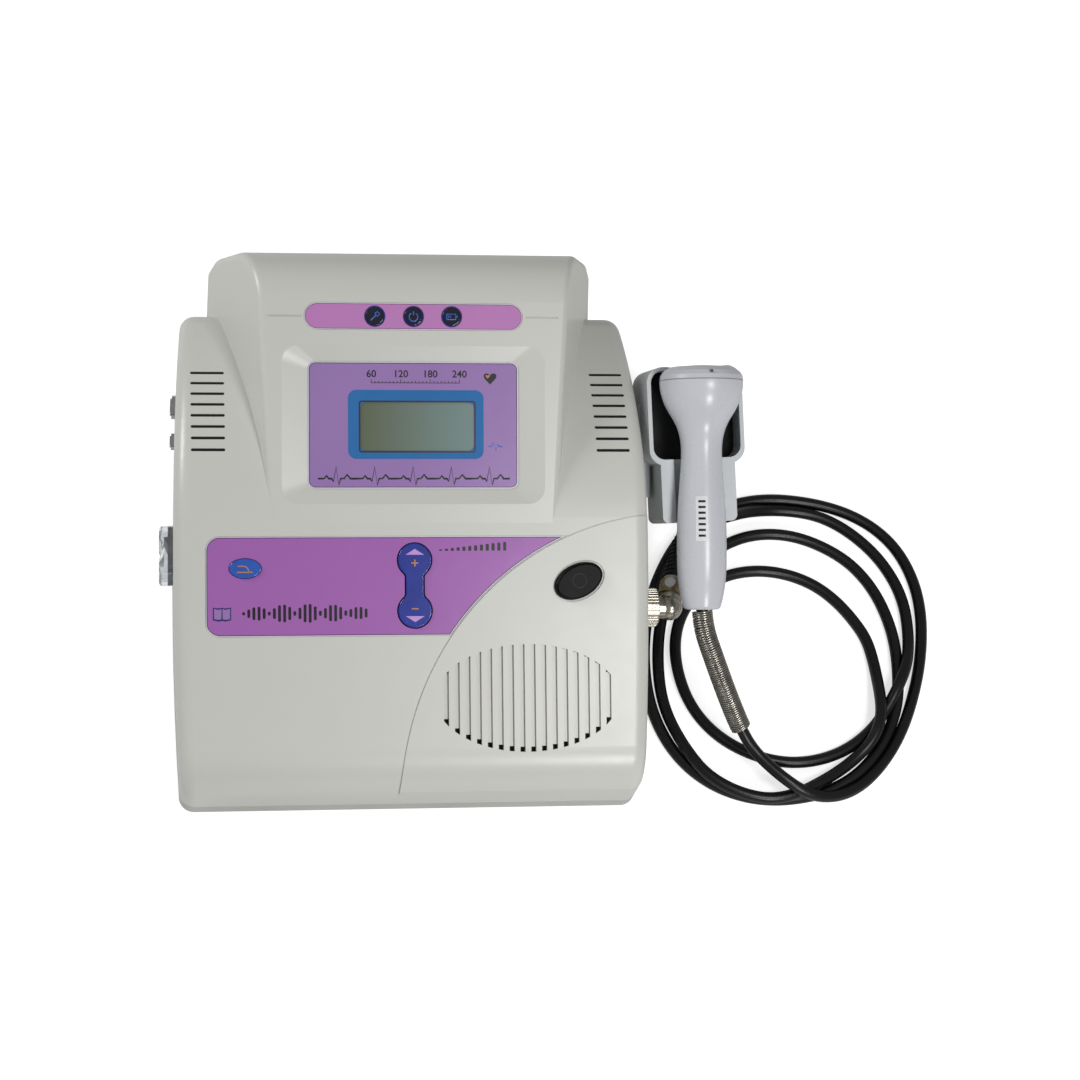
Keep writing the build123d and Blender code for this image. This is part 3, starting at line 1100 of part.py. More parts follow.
# ------------------------------------------------------------------ probe holder
def holder_plane(n, x=0.0, s=0.0):
    """Plane parallel to the display label in the holder's own leaning frame."""
    lean = radians(HOLDER_LEAN)
    across = Vector(cos(lean), 0, 0) + SLOPE * sin(lean)
    up = Vector(-sin(lean), 0, 0) + SLOPE * cos(lean)
    origin = on_face(HOLDER_X, HOLDER_S, n) + across * x + up * (s - HOLDER_S)
    return Plane(origin=origin, x_dir=across, z_dir=NORMAL)


CHANNEL_HALF = 12.2
CHANNEL_N = -17.8
POCKET_BOTTOM_S = 5.0
with BuildPart() as holder_shell:
    head_length = HOLDER_TOP_S - HOLDER_SHOULDER_S
    head_middle = (HOLDER_TOP_S + HOLDER_SHOULDER_S) / 2
    neck_length = HOLDER_SHOULDER_S - HOLDER_END_S + 12
    neck_middle = HOLDER_END_S + neck_length / 2
    depth = HOLDER_RIM_N - HOLDER_BACK_N
    add(block(holder_plane(HOLDER_BACK_N, 0, head_middle), HOLDER_WIDTH, head_length, depth, 8))
    add(block(holder_plane(HOLDER_BACK_N, 0, neck_middle), HOLDER_NECK, neck_length, depth, 3))
    # pocket and channel
    pocket_length = head_length - HOLDER_WALL - (POCKET_BOTTOM_S - HOLDER_SHOULDER_S)
    pocket_middle = POCKET_BOTTOM_S + pocket_length / 2
    inner_width = HOLDER_WIDTH - 2 * HOLDER_WALL
    pocket_floor = holder_plane(POCKET_FLOOR_N, 0, pocket_middle)
    add(block(pocket_floor, inner_width, pocket_length, 30, 6), mode=Mode.SUBTRACT)
    channel_length = 2 * (POCKET_BOTTOM_S - HOLDER_END_S) + 4
    channel_floor = holder_plane(CHANNEL_N, 0, HOLDER_END_S)
    add(block(channel_floor, 2 * CHANNEL_HALF, channel_length, 30), mode=Mode.SUBTRACT)
    # room for the probe's face over the top wall
    probe_top = Plane(origin=on_face(PROBE_X, HOLDER_TOP_S - 5, PROBE_N), x_dir=(1, 0, 0), z_dir=SLOPE)
    add(peg(probe_top, 17.6, 20), mode=Mode.SUBTRACT)
    # hollow behind
    hollow = POCKET_FLOOR_N - HOLDER_WALL - HOLDER_BACK_N + 1
    inner_length = head_length - 2 * HOLDER_WALL
    below = holder_plane(HOLDER_BACK_N - 1, 0, head_middle)
    add(block(below, inner_width, inner_length, hollow, 6), mode=Mode.SUBTRACT)
    neck_hollow = CHANNEL_N - HOLDER_WALL - HOLDER_BACK_N + 1
    neck_hollow_length = POCKET_BOTTOM_S - 2 * HOLDER_WALL - HOLDER_END_S - 2
    add(
        block(
            holder_plane(HOLDER_BACK_N - 1, 0, HOLDER_END_S + HOLDER_WALL + neck_hollow_length / 2),
            HOLDER_NECK - 2 * HOLDER_WALL,
            neck_hollow_length,
            neck_hollow,
            2,
        ),
        mode=Mode.SUBTRACT,
    )
    # foot against the wall of the case
    with BuildSketch(slope_side(CASE_HALF_WIDEST - 3)):
        with Locations((9, -37.5)):
            Rectangle(46, 15)
    extrude(amount=10)
    add(OUTER, mode=Mode.SUBTRACT)
    for y, z in HOLDER_SCREWS:
        add(peg(wall_plane(1, y, z, -6), SCREW_RADIUS - 0.2, 15.5), mode=Mode.SUBTRACT)
holder_shell.part.label = "holder_shell"

with BuildPart() as holder_liner:
    liner_gap = 0.15
    add(
        block(
            holder_plane(POCKET_FLOOR_N, 0, pocket_middle),
            HOLDER_WIDTH - 2 * HOLDER_WALL - 2 * liner_gap,
            pocket_length - 2 * liner_gap,
            1.2,
            5.8,
        )
    )
holder_liner.part.label = "holder_liner"

with BuildPart() as holder_screws:
    for y, z in HOLDER_SCREWS:
        seat = under(wall_plane(1, y, z, -WALL - 0.05))
        add(screw(seat, SCREW_RADIUS - 0.25, 11, SCREW_HEAD_RADIUS, SCREW_HEAD))
holder_screws.part.label = "holder_screws"

# ------------------------------------------------------------------ probe
HANDLE_OUTLINE = (  # distance up the slope, radius
    (-69.8, 8.8),
    (-59.4, 11.2),
    (-44.8, 12.2),
    (-35.0, 12.2),
    (-15.6, 11.5),
    (4.7, 10.1),
    (14.0, 10.5),
    (21.4, 12.7),
    (28.8, 16.9),
    (36.3, 19.8),
    (PROBE_SEAM_S, PROBE_HEAD_RADIUS),
)
probe_side = Plane(origin=on_face(PROBE_X, 0, PROBE_N), x_dir=SLOPE, z_dir=(-1, 0, 0))  # reads S, then radius
probe_axis = Axis(on_face(PROBE_X, 0, PROBE_N), SLOPE)


def handle_form(inset):
    """The probe's turned handle, inset from its outside."""
    with BuildPart() as form:
        with BuildSketch(probe_side):
            with BuildLine():
                side = Spline(*[(s, r - inset) for s, r in HANDLE_OUTLINE])
                Polyline(side @ 1, (PROBE_SEAM_S, 0), (HANDLE_OUTLINE[0][0], 0), side @ 0)
            make_face()
        revolve(axis=probe_axis)
    return form.part


with BuildPart() as probe_handle:
    add(handle_form(0))
    fillet(probe_handle.edges().filter_by(GeomType.CIRCLE).sort_by(Axis((0, 0, 0), tuple(SLOPE)))[0], 2.2)
    end_wall = Plane(origin=on_face(PROBE_X, PROBE_END_S + 2.4, PROBE_N), x_dir=(1, 0, 0), z_dir=SLOPE)
    with BuildPart(mode=Mode.PRIVATE) as handle_hollow:
        add(handle_form(PROBE_WALL))
        add(peg(end_wall, 40, -20), mode=Mode.SUBTRACT)
    add(handle_hollow.part, mode=Mode.SUBTRACT)
    add(peg(end_wall, SPRING_RADIUS + 0.1, -10), mode=Mode.SUBTRACT)
probe_handle.part.label = "probe_handle"


def turned_ring(points):
    """Solid turned about the probe's axis from points that read S, then radius."""
    with BuildPart() as ring:
        with BuildSketch(probe_side):
            Polygon(*points, align=None)
        revolve(axis=probe_axis)
    return ring.part


LENS_RADIUS = 15.1
CAP_BORE = 15.2
with BuildPart() as probe_cap:
    add(
        turned_ring(
            (
                (PROBE_SEAM_S - 3, 15),
                (PROBE_SEAM_S - 3, 17.4),
                (PROBE_SEAM_S + 0.01, 18.2),
                (PROBE_SEAM_S + 0.01, PROBE_HEAD_RADIUS),
                (45.4, 20.2),
                (47.4, 18.9),
                (49.0, 16.6),
                (49.6, CAP_BORE),
                (45.6, CAP_BORE),
                (45.6, 13),
                (PROBE_SEAM_S + 0.6, 13),
            )
        )
    )
probe_cap.part.label = "probe_cap"

with BuildPart() as probe_lens:
    with BuildSketch(probe_side):
        with BuildLine():
            sag = PROBE_TOP_S - 49.3
            dome_radius = (LENS_RADIUS**2 + sag**2) / (2 * sag)
            half_way_s = PROBE_TOP_S - dome_radius + sqrt(dome_radius**2 - LENS_RADIUS**2 / 4)
            half_way = (half_way_s, LENS_RADIUS / 2)
            dome = ThreePointArc((49.3, LENS_RADIUS), half_way, (PROBE_TOP_S, 0))
            Polyline(dome @ 1, (45.6, 0), (45.6, LENS_RADIUS), dome @ 0)
        make_face()
    revolve(axis=probe_axis)
probe_lens.part.label = "probe_lens"

with BuildPart() as probe_crystals:
    crystal_plane = Plane(origin=on_face(PROBE_X, 44.6, PROBE_N), x_dir=(1, 0, 0), z_dir=SLOPE)
    with BuildSketch(crystal_plane):
        Circle(3)
        with PolarLocations(8.6, 6):
            Circle(3)
    extrude(amount=1.0)
probe_crystals.part.label = "probe_crystals"

with BuildPart() as probe_board:
    add(block(face_plane(PROBE_X, -10, PROBE_N - 0.8), 15.6, 60, BOARD_THICKNESS))
probe_board.part.label = "probe_board"

STICKER_THICKNESS = 0.15
with BuildPart() as probe_sticker:
    add(handle_form(-STICKER_THICKNESS))
    add(handle_form(0), mode=Mode.SUBTRACT)
    add(block(face_plane(PROBE_X - 2.6, -25, PROBE_N), 5.9, 22, 40, 0.6), mode=Mode.INTERSECT)
probe_sticker.part.label = "probe_sticker"


# ------------------------------------------------------------------ cord
def bend_radii(points):
    """Bend radius at each inner point: every bend takes 0.45 of the shorter of its two runs."""
    radii = []
    for before, here, after in zip(points, points[1:], points[2:]):
        arriving = here - before
        leaving = after - here
        turn = radians(arriving.get_angle(leaving))
        radii.append(0.45 * min(arriving.length, leaving.length) / tan(turn / 2))
    return radii


def tube(points, radius, bore=0.0):
    """Round tube along straight runs joined by tangent arcs."""
    radii = bend_radii(points)
    with BuildPart() as run:
        with BuildLine() as route:
            if len(points) > 2:
                FilletPolyline(*points, radius=radii)
            else:
                Line(*points)
        path = route.wires()[0]
        start = Plane(origin=path @ 0, z_dir=path % 0)
        with BuildSketch(start):
            Circle(radius)
            if bore:
                Circle(bore, mode=Mode.SUBTRACT)
        sweep(path=path)
    section = pi * (radius**2 - bore**2)
    print("tube radii", [round(r, 1) for r in radii], "length", round(path.length, 1))
    print("tube volume", round(run.part.volume, 1), "section x length", round(section * path.length, 1))
    return run.part


lead_points = [
    on_face(PROBE_X, -66, PROBE_N),
    on_face(PROBE_X, -77, PROBE_N),
    in_case(150.2, -82.6, 48.6),
    in_case(158.4, -98, 36),
    in_case(166.9, -111.3, 23.5),
    in_case(173.5, -120.0, 17.8),
]
spring_end = lead_points[3] + (lead_points[4] - lead_points[3]) * 0.7
tail_start = elbow + ARM * (ARM_LENGTH + PLUG_BOOT_LENGTH)
tail_points = [
    tail_start,
    tail_start + ARM * 5.5,
    in_case(149.5, -1.5, 36.5),
    in_case(158.0, 4.3, 30.5),
    in_case(165.5, 7.5, 23.0),
    in_case(170.5, 9.0, 17.3),
]
COIL_HEIGHT = 15.0
COIL_OUTER = (200.6, -57.7, 77.7, 85.9)  # case X and Y of its middle, half width, half length
COIL_INNER = (198.0, -67.0, 47.0, 50.0)

with BuildPart() as spring_relief:
    add(tube(lead_points[:4] + [spring_end], SPRING_RADIUS, SPRING_BORE))
spring_relief.part.label = "spring_relief"

with BuildPart() as cord_lead:
    add(tube(lead_points, CORD_RADIUS))
cord_lead.part.label = "cord_lead"

with BuildPart() as cord_coil:
    with BuildSketch(level(0)):
        for (x, y, half_width, half_length), mode in ((COIL_OUTER, Mode.ADD), (COIL_INNER, Mode.SUBTRACT)):
            with Locations((x, y)):
                Ellipse(half_width, half_length, rotation=0, mode=mode)
    extrude(amount=COIL_HEIGHT)
cord_coil.part.label = "cord_coil"

with BuildPart() as cord_tail:
    add(tube(tail_points, CORD_RADIUS))
cord_tail.part.label = "cord_tail"

# ------------------------------------------------------------------ files
os.makedirs("parts", exist_ok=True)
export_step(upper_shell.part, "parts/upper_shell.step")
export_step(base_tray.part, "parts/base_tray.step")
export_step(rubber_feet.part, "parts/rubber_feet.step")
export_step(case_screws.part, "parts/case_screws.step")
export_step(board_screws.part, "parts/board_screws.step")
export_step(display_overlay.part, "parts/display_overlay.step")
export_step(lcd_glass.part, "parts/lcd_glass.step")
export_step(lcd_backlight.part, "parts/lcd_backlight.step")
export_step(lcd_board.part, "parts/lcd_board.step")
export_step(indicator_overlay.part, "parts/indicator_overlay.step")
export_step(indicator_lenses.part, "parts/indicator_lenses.step")
export_step(indicator_board.part, "parts/indicator_board.step")
export_step(control_overlay.part, "parts/control_overlay.step")
export_step(filter_key.part, "parts/filter_key.step")
export_step(volume_key.part, "parts/volume_key.step")
export_step(start_button.part, "parts/start_button.step")
export_step(key_board.part, "parts/key_board.step")
export_step(key_switches.part, "parts/key_switches.step")
export_step(speaker_cloth.part, "parts/speaker_cloth.step")
export_step(speaker_basket.part, "parts/speaker_basket.step")
export_step(speaker_cone.part, "parts/speaker_cone.step")
export_step(speaker_magnet.part, "parts/speaker_magnet.step")
export_step(main_board.part, "parts/main_board.step")
export_step(board_chips.part, "parts/board_chips.step")
export_step(capacitors.part, "parts/capacitors.step")
export_step(transformer_core.part, "parts/transformer_core.step")
export_step(transformer_coil.part, "parts/transformer_coil.step")
export_step(battery_holder.part, "parts/battery_holder.step")
export_step(battery_cells.part, "parts/battery_cells.step")
export_step(record_jack.part, "parts/record_jack.step")
export_step(headphone_jack.part, "parts/headphone_jack.step")
export_step(jack_nuts.part, "parts/jack_nuts.step")
export_step(switch_frame.part, "parts/switch_frame.step")
export_step(power_rocker.part, "parts/power_rocker.step")
export_step(switch_boot.part, "parts/switch_boot.step")
export_step(probe_socket.part, "parts/probe_socket.step")
export_step(panel_screws.part, "parts/panel_screws.step")
export_step(plug_ring.part, "parts/plug_ring.step")
export_step(plug_body.part, "parts/plug_body.step")
export_step(plug_clamp.part, "parts/plug_clamp.step")
export_step(clamp_screw.part, "parts/clamp_screw.step")
export_step(plug_boot.part, "parts/plug_boot.step")
export_step(mains_inlet.part, "parts/mains_inlet.step")
export_step(inlet_pins.part, "parts/inlet_pins.step")
export_step(fuse_holder.part, "parts/fuse_holder.step")
export_step(holder_shell.part, "parts/holder_shell.step")
export_step(holder_liner.part, "parts/holder_liner.step")
export_step(holder_screws.part, "parts/holder_screws.step")
export_step(probe_handle.part, "parts/probe_handle.step")
export_step(probe_cap.part, "parts/probe_cap.step")
export_step(probe_lens.part, "parts/probe_lens.step")
export_step(probe_crystals.part, "parts/probe_crystals.step")
export_step(probe_board.part, "parts/probe_board.step")
export_step(probe_sticker.part, "parts/probe_sticker.step")
export_step(spring_relief.part, "parts/spring_relief.step")
export_step(cord_lead.part, "parts/cord_lead.step")
export_step(cord_coil.part, "parts/cord_coil.step")
export_step(cord_tail.part, "parts/cord_tail.step")
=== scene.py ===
"""Looks of a tabletop fetal doppler monitor.

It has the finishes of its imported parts, the prints on its labels, its knurled plug, its spring and its
cord, with a plain studio round it. Lengths are in millimetres and turned to metres where a mesh is placed.
"""

import logging
import math
from dataclasses import dataclass, field
from enum import Enum
from functools import partial

import bmesh
import bpy
from bmesh.types import BMesh, BMVert
from bpy.types import NodeSocket, NodeTree
from mathutils import Matrix, Vector


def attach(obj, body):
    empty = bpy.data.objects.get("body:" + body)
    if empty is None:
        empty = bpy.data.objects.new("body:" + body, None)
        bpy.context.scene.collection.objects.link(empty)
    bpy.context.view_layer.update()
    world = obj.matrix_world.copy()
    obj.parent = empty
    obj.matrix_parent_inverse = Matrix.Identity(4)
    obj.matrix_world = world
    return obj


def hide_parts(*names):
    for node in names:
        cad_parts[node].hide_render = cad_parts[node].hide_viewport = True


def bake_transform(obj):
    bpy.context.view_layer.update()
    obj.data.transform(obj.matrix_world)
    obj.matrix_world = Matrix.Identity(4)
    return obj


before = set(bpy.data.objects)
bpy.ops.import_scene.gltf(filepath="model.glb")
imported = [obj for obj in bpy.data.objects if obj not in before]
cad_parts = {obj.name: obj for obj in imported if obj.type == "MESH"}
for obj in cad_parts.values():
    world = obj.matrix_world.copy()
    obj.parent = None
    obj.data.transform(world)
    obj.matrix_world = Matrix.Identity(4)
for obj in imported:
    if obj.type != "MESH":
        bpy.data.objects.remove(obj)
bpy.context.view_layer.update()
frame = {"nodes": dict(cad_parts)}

Pair = tuple[float, float]
Triple = tuple[float, float, float]
MM = 0.001
log = logging.getLogger("doppler")


# ---- places
@dataclass(frozen=True)
class Place:
    """A flat place on the object with its own X across, Y up its slope and Z out of it."""

    origin: Triple
    tilt: float

    def at(self, x: float, y: float, out: float = 0.0, turn: float = 0.0) -> Matrix:
        """Matrix that takes a mesh in millimetres to this place.

        Args:
            x: millimetres across.
            y: millimetres up the slope.
            out: millimetres out of the surface.
            turn: degrees anticlockwise on the surface.

        Returns:
            The matrix, to metres.
        """
        tilted = Matrix.Rotation(math.radians(self.tilt), 4, "X")
        place = Matrix.Translation(Vector(self.origin) * MM) @ tilted
        inside = Matrix.Translation((x, y, out)) @ Matrix.Rotation(math.radians(turn), 4, "Z")
        return place @ Matrix.Scale(MM, 4) @ inside


DISPLAY_SLOPE = 25.0  # degrees
MAIN_SLOPE = 22.1
HOOD_FOOT = 27.0  # from the display's middle down to where the lower face begins
HOOD_FOOT_OUT = 2.8
FACE = Place((-22.35, 11.75, 94.9), DISPLAY_SLOPE)  # plane of the display label
MAIN_UP = Vector((0, math.cos(math.radians(MAIN_SLOPE)), math.sin(math.radians(MAIN_SLOPE))))
MAIN_ZERO = FACE.at(0, -HOOD_FOOT, HOOD_FOOT_OUT).translation / MM + MAIN_UP * HOOD_FOOT
MAIN = Place(tuple(MAIN_ZERO), MAIN_SLOPE)  # plane of the lower face


# ---- colour and nodes
def linear(hex_colour: str) -> tuple[float, float, float, float]:
    """Linear colour of an sRGB hex value.

    Args:
        hex_colour: six hex digits.

    Returns:
        Linear red, green, blue and an alpha of 1.
    """
    channels = [int(hex_colour[i : i + 2], 16) / 255 for i in (0, 2, 4)]
    out = [c / 12.92 if c <= 0.04045 else ((c + 0.055) / 1.055) ** 2.4 for c in channels]
    return (out[0], out[1], out[2], 1.0)


def add_node(tree: NodeTree, kind: str, settings: dict | None = None, links: dict | None = None):
    """Adds a shader node.

    Args:
        tree: node tree it goes into.
        kind: node type.
        settings: values by property name or input name.
        links: sockets that feed its inputs, by input name or number.

    Returns:
        The node.
    """
    node = tree.nodes.new(kind)
    for name, value in (settings or {}).items():
        if isinstance(name, str) and hasattr(node, name):
            setattr(node, name, value)
        else:
            node.inputs[name].default_value = value
    for name, socket in (links or {}).items():
        tree.links.new(socket, node.inputs[name])
    return node


class Relief(Enum):
    """How a surface was made, which gives its fine relief."""

    SPARKED = "sparked"  # moulded in a spark-eroded tool: fine even grain
    POLISHED = "polished"  # moulded in a polished tool, or a film
    TURNED = "turned"  # turned or drawn metal: fine parallel lines
    WOVEN = "woven"
    PRESSED = "pressed"  # pulp, ceramic or cast skin: soft lumps


@dataclass(frozen=True)
class Finish:
    """A material's real name, colours, gloss and relief."""

    name: str
    colour: str
    second: str  # the colour that it drifts to
    roughness: float
    ior: float = 1.5
    metallic: float = 0.0
    coat: float = 0.0
    sheen: float = 0.0
    transmission: float = 0.0
    subsurface: float = 0.0
    drift_mm: float = 40.0  # how wide its clouds of colour are
    relief: Relief = Relief.SPARKED
    grain_mm: float = 0.5
    depth_mm: float = 0.02
    gloss_drift: float = 0.015
    fade: Pair | None = None  # X in millimetres between which the first colour gives way to the second

    def material(self) -> bpy.types.Material:
        """Builds the finish as a node material, once.

        Returns:
            The material.
        """
        made = bpy.data.materials.get(self.name)
        if made:
            return made
        made = bpy.data.materials.new(self.name)
        made.use_nodes = True
        made.diffuse_color = linear(self.colour)
        tree = made.node_tree
        tree.nodes.clear()
        place = add_node(tree, "ShaderNodeTexCoord")
        mm = add_node(
            tree, "ShaderNodeMapping", {"Scale": (1000, 1000, 1000)}, {"Vector": place.outputs["Object"]}
        )
        base = self.colouring(tree, mm.outputs[0])
        smudge = add_node(
            tree, "ShaderNodeTexNoise", {"Scale": 0.11, "Detail": 3.0}, {"Vector": mm.outputs[0]}
        )
        low, high = max(self.roughness - self.gloss_drift, 0.02), min(self.roughness + self.gloss_drift, 1.0)
        gloss = add_node(
            tree,
            "ShaderNodeMapRange",
            {"From Min": 0.3, "From Max": 0.7, "To Min": low, "To Max": high},
            {"Value": smudge.outputs["Fac"]},
        )
        bump = add_node(
            tree,
            "ShaderNodeBump",
            {"Strength": 1.0, "Distance": self.depth_mm * MM},
            {"Height": self.height(tree, mm.outputs[0])},
        )
        shader = add_node(
            tree,
            "ShaderNodeBsdfPrincipled",
            {
                "Metallic": self.metallic,
                "IOR": self.ior,
                "Coat Weight": self.coat,
                "Coat Roughness": 0.08,
                "Sheen Weight": self.sheen,
                "Transmission Weight": self.transmission,
                "Subsurface Weight": self.subsurface,
                "Subsurface Scale": 0.002,
            },
            {"Base Color": base, "Roughness": gloss.outputs[0], "Normal": bump.outputs[0]},
        )
        add_node(tree, "ShaderNodeOutputMaterial", None, {"Surface": shader.outputs[0]})
        return made

    def colouring(self, tree: NodeTree, mm) -> NodeSocket:
        """The colour, drifting softly to the second one.

        Args:
            tree: node tree.
            mm: coordinates in millimetres.

        Returns:
            Colour socket.
        """
        clouds = add_node(
            tree, "ShaderNodeTexNoise", {"Scale": 1 / self.drift_mm, "Detail": 4.0}, {"Vector": mm}
        )
        level = add_node(
            tree, "ShaderNodeMapRange", {"From Min": 0.32, "From Max": 0.68}, {"Value": clouds.outputs["Fac"]}
        )
        if self.fade:
            across = add_node(tree, "ShaderNodeSeparateXYZ", None, {"Vector": mm})
            level = add_node(
                tree,
                "ShaderNodeMapRange",
                {"From Min": self.fade[0], "From Max": self.fade[1]},
                {"Value": across.outputs["X"]},
            )
        blend = add_node(tree, "ShaderNodeMix", {"data_type": "RGBA"}, {0: level.outputs[0]})
        blend.inputs[6].default_value = linear(self.colour)
        blend.inputs[7].default_value = linear(self.second)
        return blend.outputs[2]

    def height(self, tree: NodeTree, mm) -> NodeSocket:
        """The height of the relief, from 0 to 1.

        Args:
            tree: node tree.
            mm: coordinates in millimetres.

        Returns:
            Height socket.
        """
        scale = 1 / self.grain_mm
        if self.relief is Relief.WOVEN:
            warp, weft = (
                add_node(
                    tree,
                    "ShaderNodeTexWave",
                    {"Scale": scale / 2, "bands_direction": across, "Distortion": 0.3},
                    {"Vector": mm},
                ).outputs["Fac"]
                for across in "XY"
            )
            both = add_node(tree, "ShaderNodeMath", {"operation": "MULTIPLY"}, {0: warp, 1: weft})
            return both.outputs[0]
        if self.relief is Relief.TURNED:
            lines = add_node(
                tree, "ShaderNodeMapping", {"Scale": (scale, scale, scale * 0.02)}, {"Vector": mm}
            )
            scratch = add_node(
                tree, "ShaderNodeTexNoise", {"Scale": 1.0, "Detail": 2.0}, {"Vector": lines.outputs[0]}
            )
            return scratch.outputs["Fac"]
        detail = {Relief.SPARKED: 2.0, Relief.POLISHED: 0.0, Relief.PRESSED: 6.0}[self.relief]
        grain = add_node(tree, "ShaderNodeTexNoise", {"Scale": scale, "Detail": detail}, {"Vector": mm})
        return grain.outputs["Fac"]


# ---- finishes
ink = partial(Finish, drift_mm=12, grain_mm=0.3, depth_mm=0.004)
polished = partial(Finish, relief=Relief.POLISHED, depth_mm=0.01)
film = partial(polished, roughness=0.22, ior=1.55, coat=0.2, drift_mm=90, grain_mm=9, depth_mm=0.005)
pressed = partial(Finish, relief=Relief.PRESSED)
metal = partial(Finish, metallic=1.0, relief=Relief.TURNED, grain_mm=0.3, depth_mm=0.01)

# Moulded ABS and nylon: satin, with soft broad highlights.
CASE_ABS = Finish(
    "abs_off_white_satin", "D2D2CC", "D0D0CA", 0.31, 1.53, drift_mm=80, grain_mm=0.6, depth_mm=0.004
)
TRAY_ABS = Finish("abs_pale_grey_sparked", "C2C2BC", "BABAB4", 0.5, 1.53, grain_mm=0.8, depth_mm=0.03)
HOLDER_ABS = Finish(
    "abs_light_grey_moulded", "C2C6C8", "BDC1C4", 0.38, 1.53, drift_mm=60, grain_mm=0.6, depth_mm=0.006
)
PROBE_ABS = Finish(
    "abs_cool_grey_satin", "CCCED4", "CACCD2", 0.27, 1.53, drift_mm=80, grain_mm=0.4, depth_mm=0.003
)
CAP_ABS = Finish(
    "abs_cool_grey_cap", "CACCD1", "C8CACF", 0.3, 1.53, drift_mm=70, grain_mm=0.4, depth_mm=0.003
)
SEAM_SHADE = Finish("abs_seam_shadow", "85878D", "7C7E84", 0.5, drift_mm=8, grain_mm=0.4, depth_mm=0.01)
SWITCH_PLASTIC = Finish("nylon_black_moulded", "161617", "1D1D1E", 0.42, 1.53, grain_mm=0.4)
# Polycarbonate film, printed on its back: clear gloss over flat even ink. The sticker is vinyl.
DISPLAY_FILM = film("polycarbonate_film_lilac", "9D7BB8", "9876B3")
STRIP_FILM = film("polycarbonate_film_pink", "C483C2", "C07FBE")
CONTROL_FILM = film("polycarbonate_film_purple", "A868B6", "A464B2")
BLUE_FILM = polished("polycarbonate_film_blue", "2C74B4", "286CAA", 0.14, 1.55, coat=0.3, grain_mm=9)
STICKER_FILM = polished("vinyl_sticker_white", "E6E7E9", "DCDDE0", 0.4, drift_mm=8, grain_mm=3)
# Screen-printing inks: thin, even, slightly glossy.
WHITE_INK = ink("ink_white", "EDEBF2", "E4E1EC", 0.35)
# Its violet-black also paints the shade just inside the display label's edge.
DARK_INK_AND_SHADE = ink("ink_violet_black", "241A3C", "2C2147", 0.32)
BLACK_INK = ink("ink_black", "0E0C12", "15121A", 0.32)
RIM_INK = ink("ink_lamp_rim_blue", "2B2F86", "25296F", 0.3, drift_mm=6)
VIOLET_INK = ink("ink_violet_blue", "2E2470", "281F64", 0.32)
BLUE_INK = ink("ink_icon_blue", "3C66C4", "345BB4", 0.3, drift_mm=6)
ORANGE_INK = ink("ink_amber", "C98A3A", "BE7E30", 0.35, drift_mm=6)
LILAC_INK = ink("ink_lilac", "C79CDF", "BD90D6", 0.35, drift_mm=6)
# Keys of coloured ABS, acrylic lamps and the light guide: hard gloss.
KEY_BLUE = polished(
    "abs_blue_polished", "27389A", "22318A", 0.22, coat=0.2, drift_mm=12, grain_mm=4, depth_mm=0.02
)
FILTER_BLUE = polished(
    "abs_bright_blue_polished", "2F5FC0", "2955AE", 0.2, 1.53, coat=0.4, drift_mm=8, grain_mm=4, depth_mm=0.02
)
START_BLACK = polished("abs_black_polished", "030304", "050506", 0.4, 1.24, drift_mm=14, grain_mm=6)
LAMP_LENS = polished("acrylic_smoked", "16182E", "101225", 0.12, 1.49, coat=0.6, drift_mm=6, grain_mm=3)
LIGHT_GUIDE = polished("acrylic_clear_sanded", "DDE2D6", "D3D9CC", 0.3, 1.49, grain_mm=2, depth_mm=0.02)
# Rubbers and soft plastics, and the black of the painted shade in the vents.
CORD_RUBBER = pressed(
    "pvc_black_jacket", "08080A", "0E0E10", 0.34, 1.45, drift_mm=25, grain_mm=2.5, depth_mm=0.05
)
BOOT_RUBBER = Finish("rubber_black_moulded", "101012", "18181A", 0.48, 1.52, drift_mm=10, depth_mm=0.03)
FOOT_RUBBER = Finish(
    "rubber_foot_black", "1B1B1C", "242425", 0.7, 1.52, drift_mm=6, grain_mm=0.6, depth_mm=0.04
)
LINER_RUBBER = pressed("foam_rubber_black", "0C0C0D", "141415", 0.8, sheen=0.2, grain_mm=0.8, depth_mm=0.08)
CLEAR_BOOT = polished(
    "silicone_clear_boot", "E4E6E9", "DBDEE2", 0.07, 1.12, transmission=0.9, drift_mm=5, grain_mm=3,
    depth_mm=0.04,
)
SENSOR_FACE = pressed(
    "silicone_grey_acoustic", "6C7177", "656A70", 0.42, 1.41, subsurface=0.1, drift_mm=15, grain_mm=2
)
# Painted shade: a flat black for the strips that darken the inside of the vent slots.
VENT_SHADE_BLACK = pressed("felt_black", "0B0B0C", "121213", 0.95, 1.45, sheen=0.1, grain_mm=0.7, depth_mm=0.1)
# Metals: nickel and chrome plate, zinc, drawn spring wire, lacquered steel, copper.
NICKEL = metal("brass_nickel_plated", "C9C5BB", "B5AF9F", 0.24, drift_mm=5, grain_mm=0.25)
WORN_NICKEL = metal(
    "brass_nickel_plated_worn", "B9AC90", "9A8760", 0.3, drift_mm=3, grain_mm=0.25, depth_mm=0.015
)
CHROME = polished(
    "steel_chromed", "D6D8DA", "C9CBCE", 0.1, metallic=1.0, drift_mm=6, grain_mm=2, depth_mm=0.005
)
ZINC = metal("steel_zinc_plated", "B4B5B4", "A3A5A6", 0.34, drift_mm=3)
SPRING_WIRE = metal("spring_steel_drawn", "B3B0A7", "96928A", 0.26, drift_mm=6)
BLACK_STEEL = Finish("steel_black_lacquered", "1A1A1B", "232324", 0.4, drift_mm=10)
COPPER = metal("copper_enamelled", "B06A35", "9A5627", 0.28, drift_mm=4, grain_mm=0.5, depth_mm=0.1)
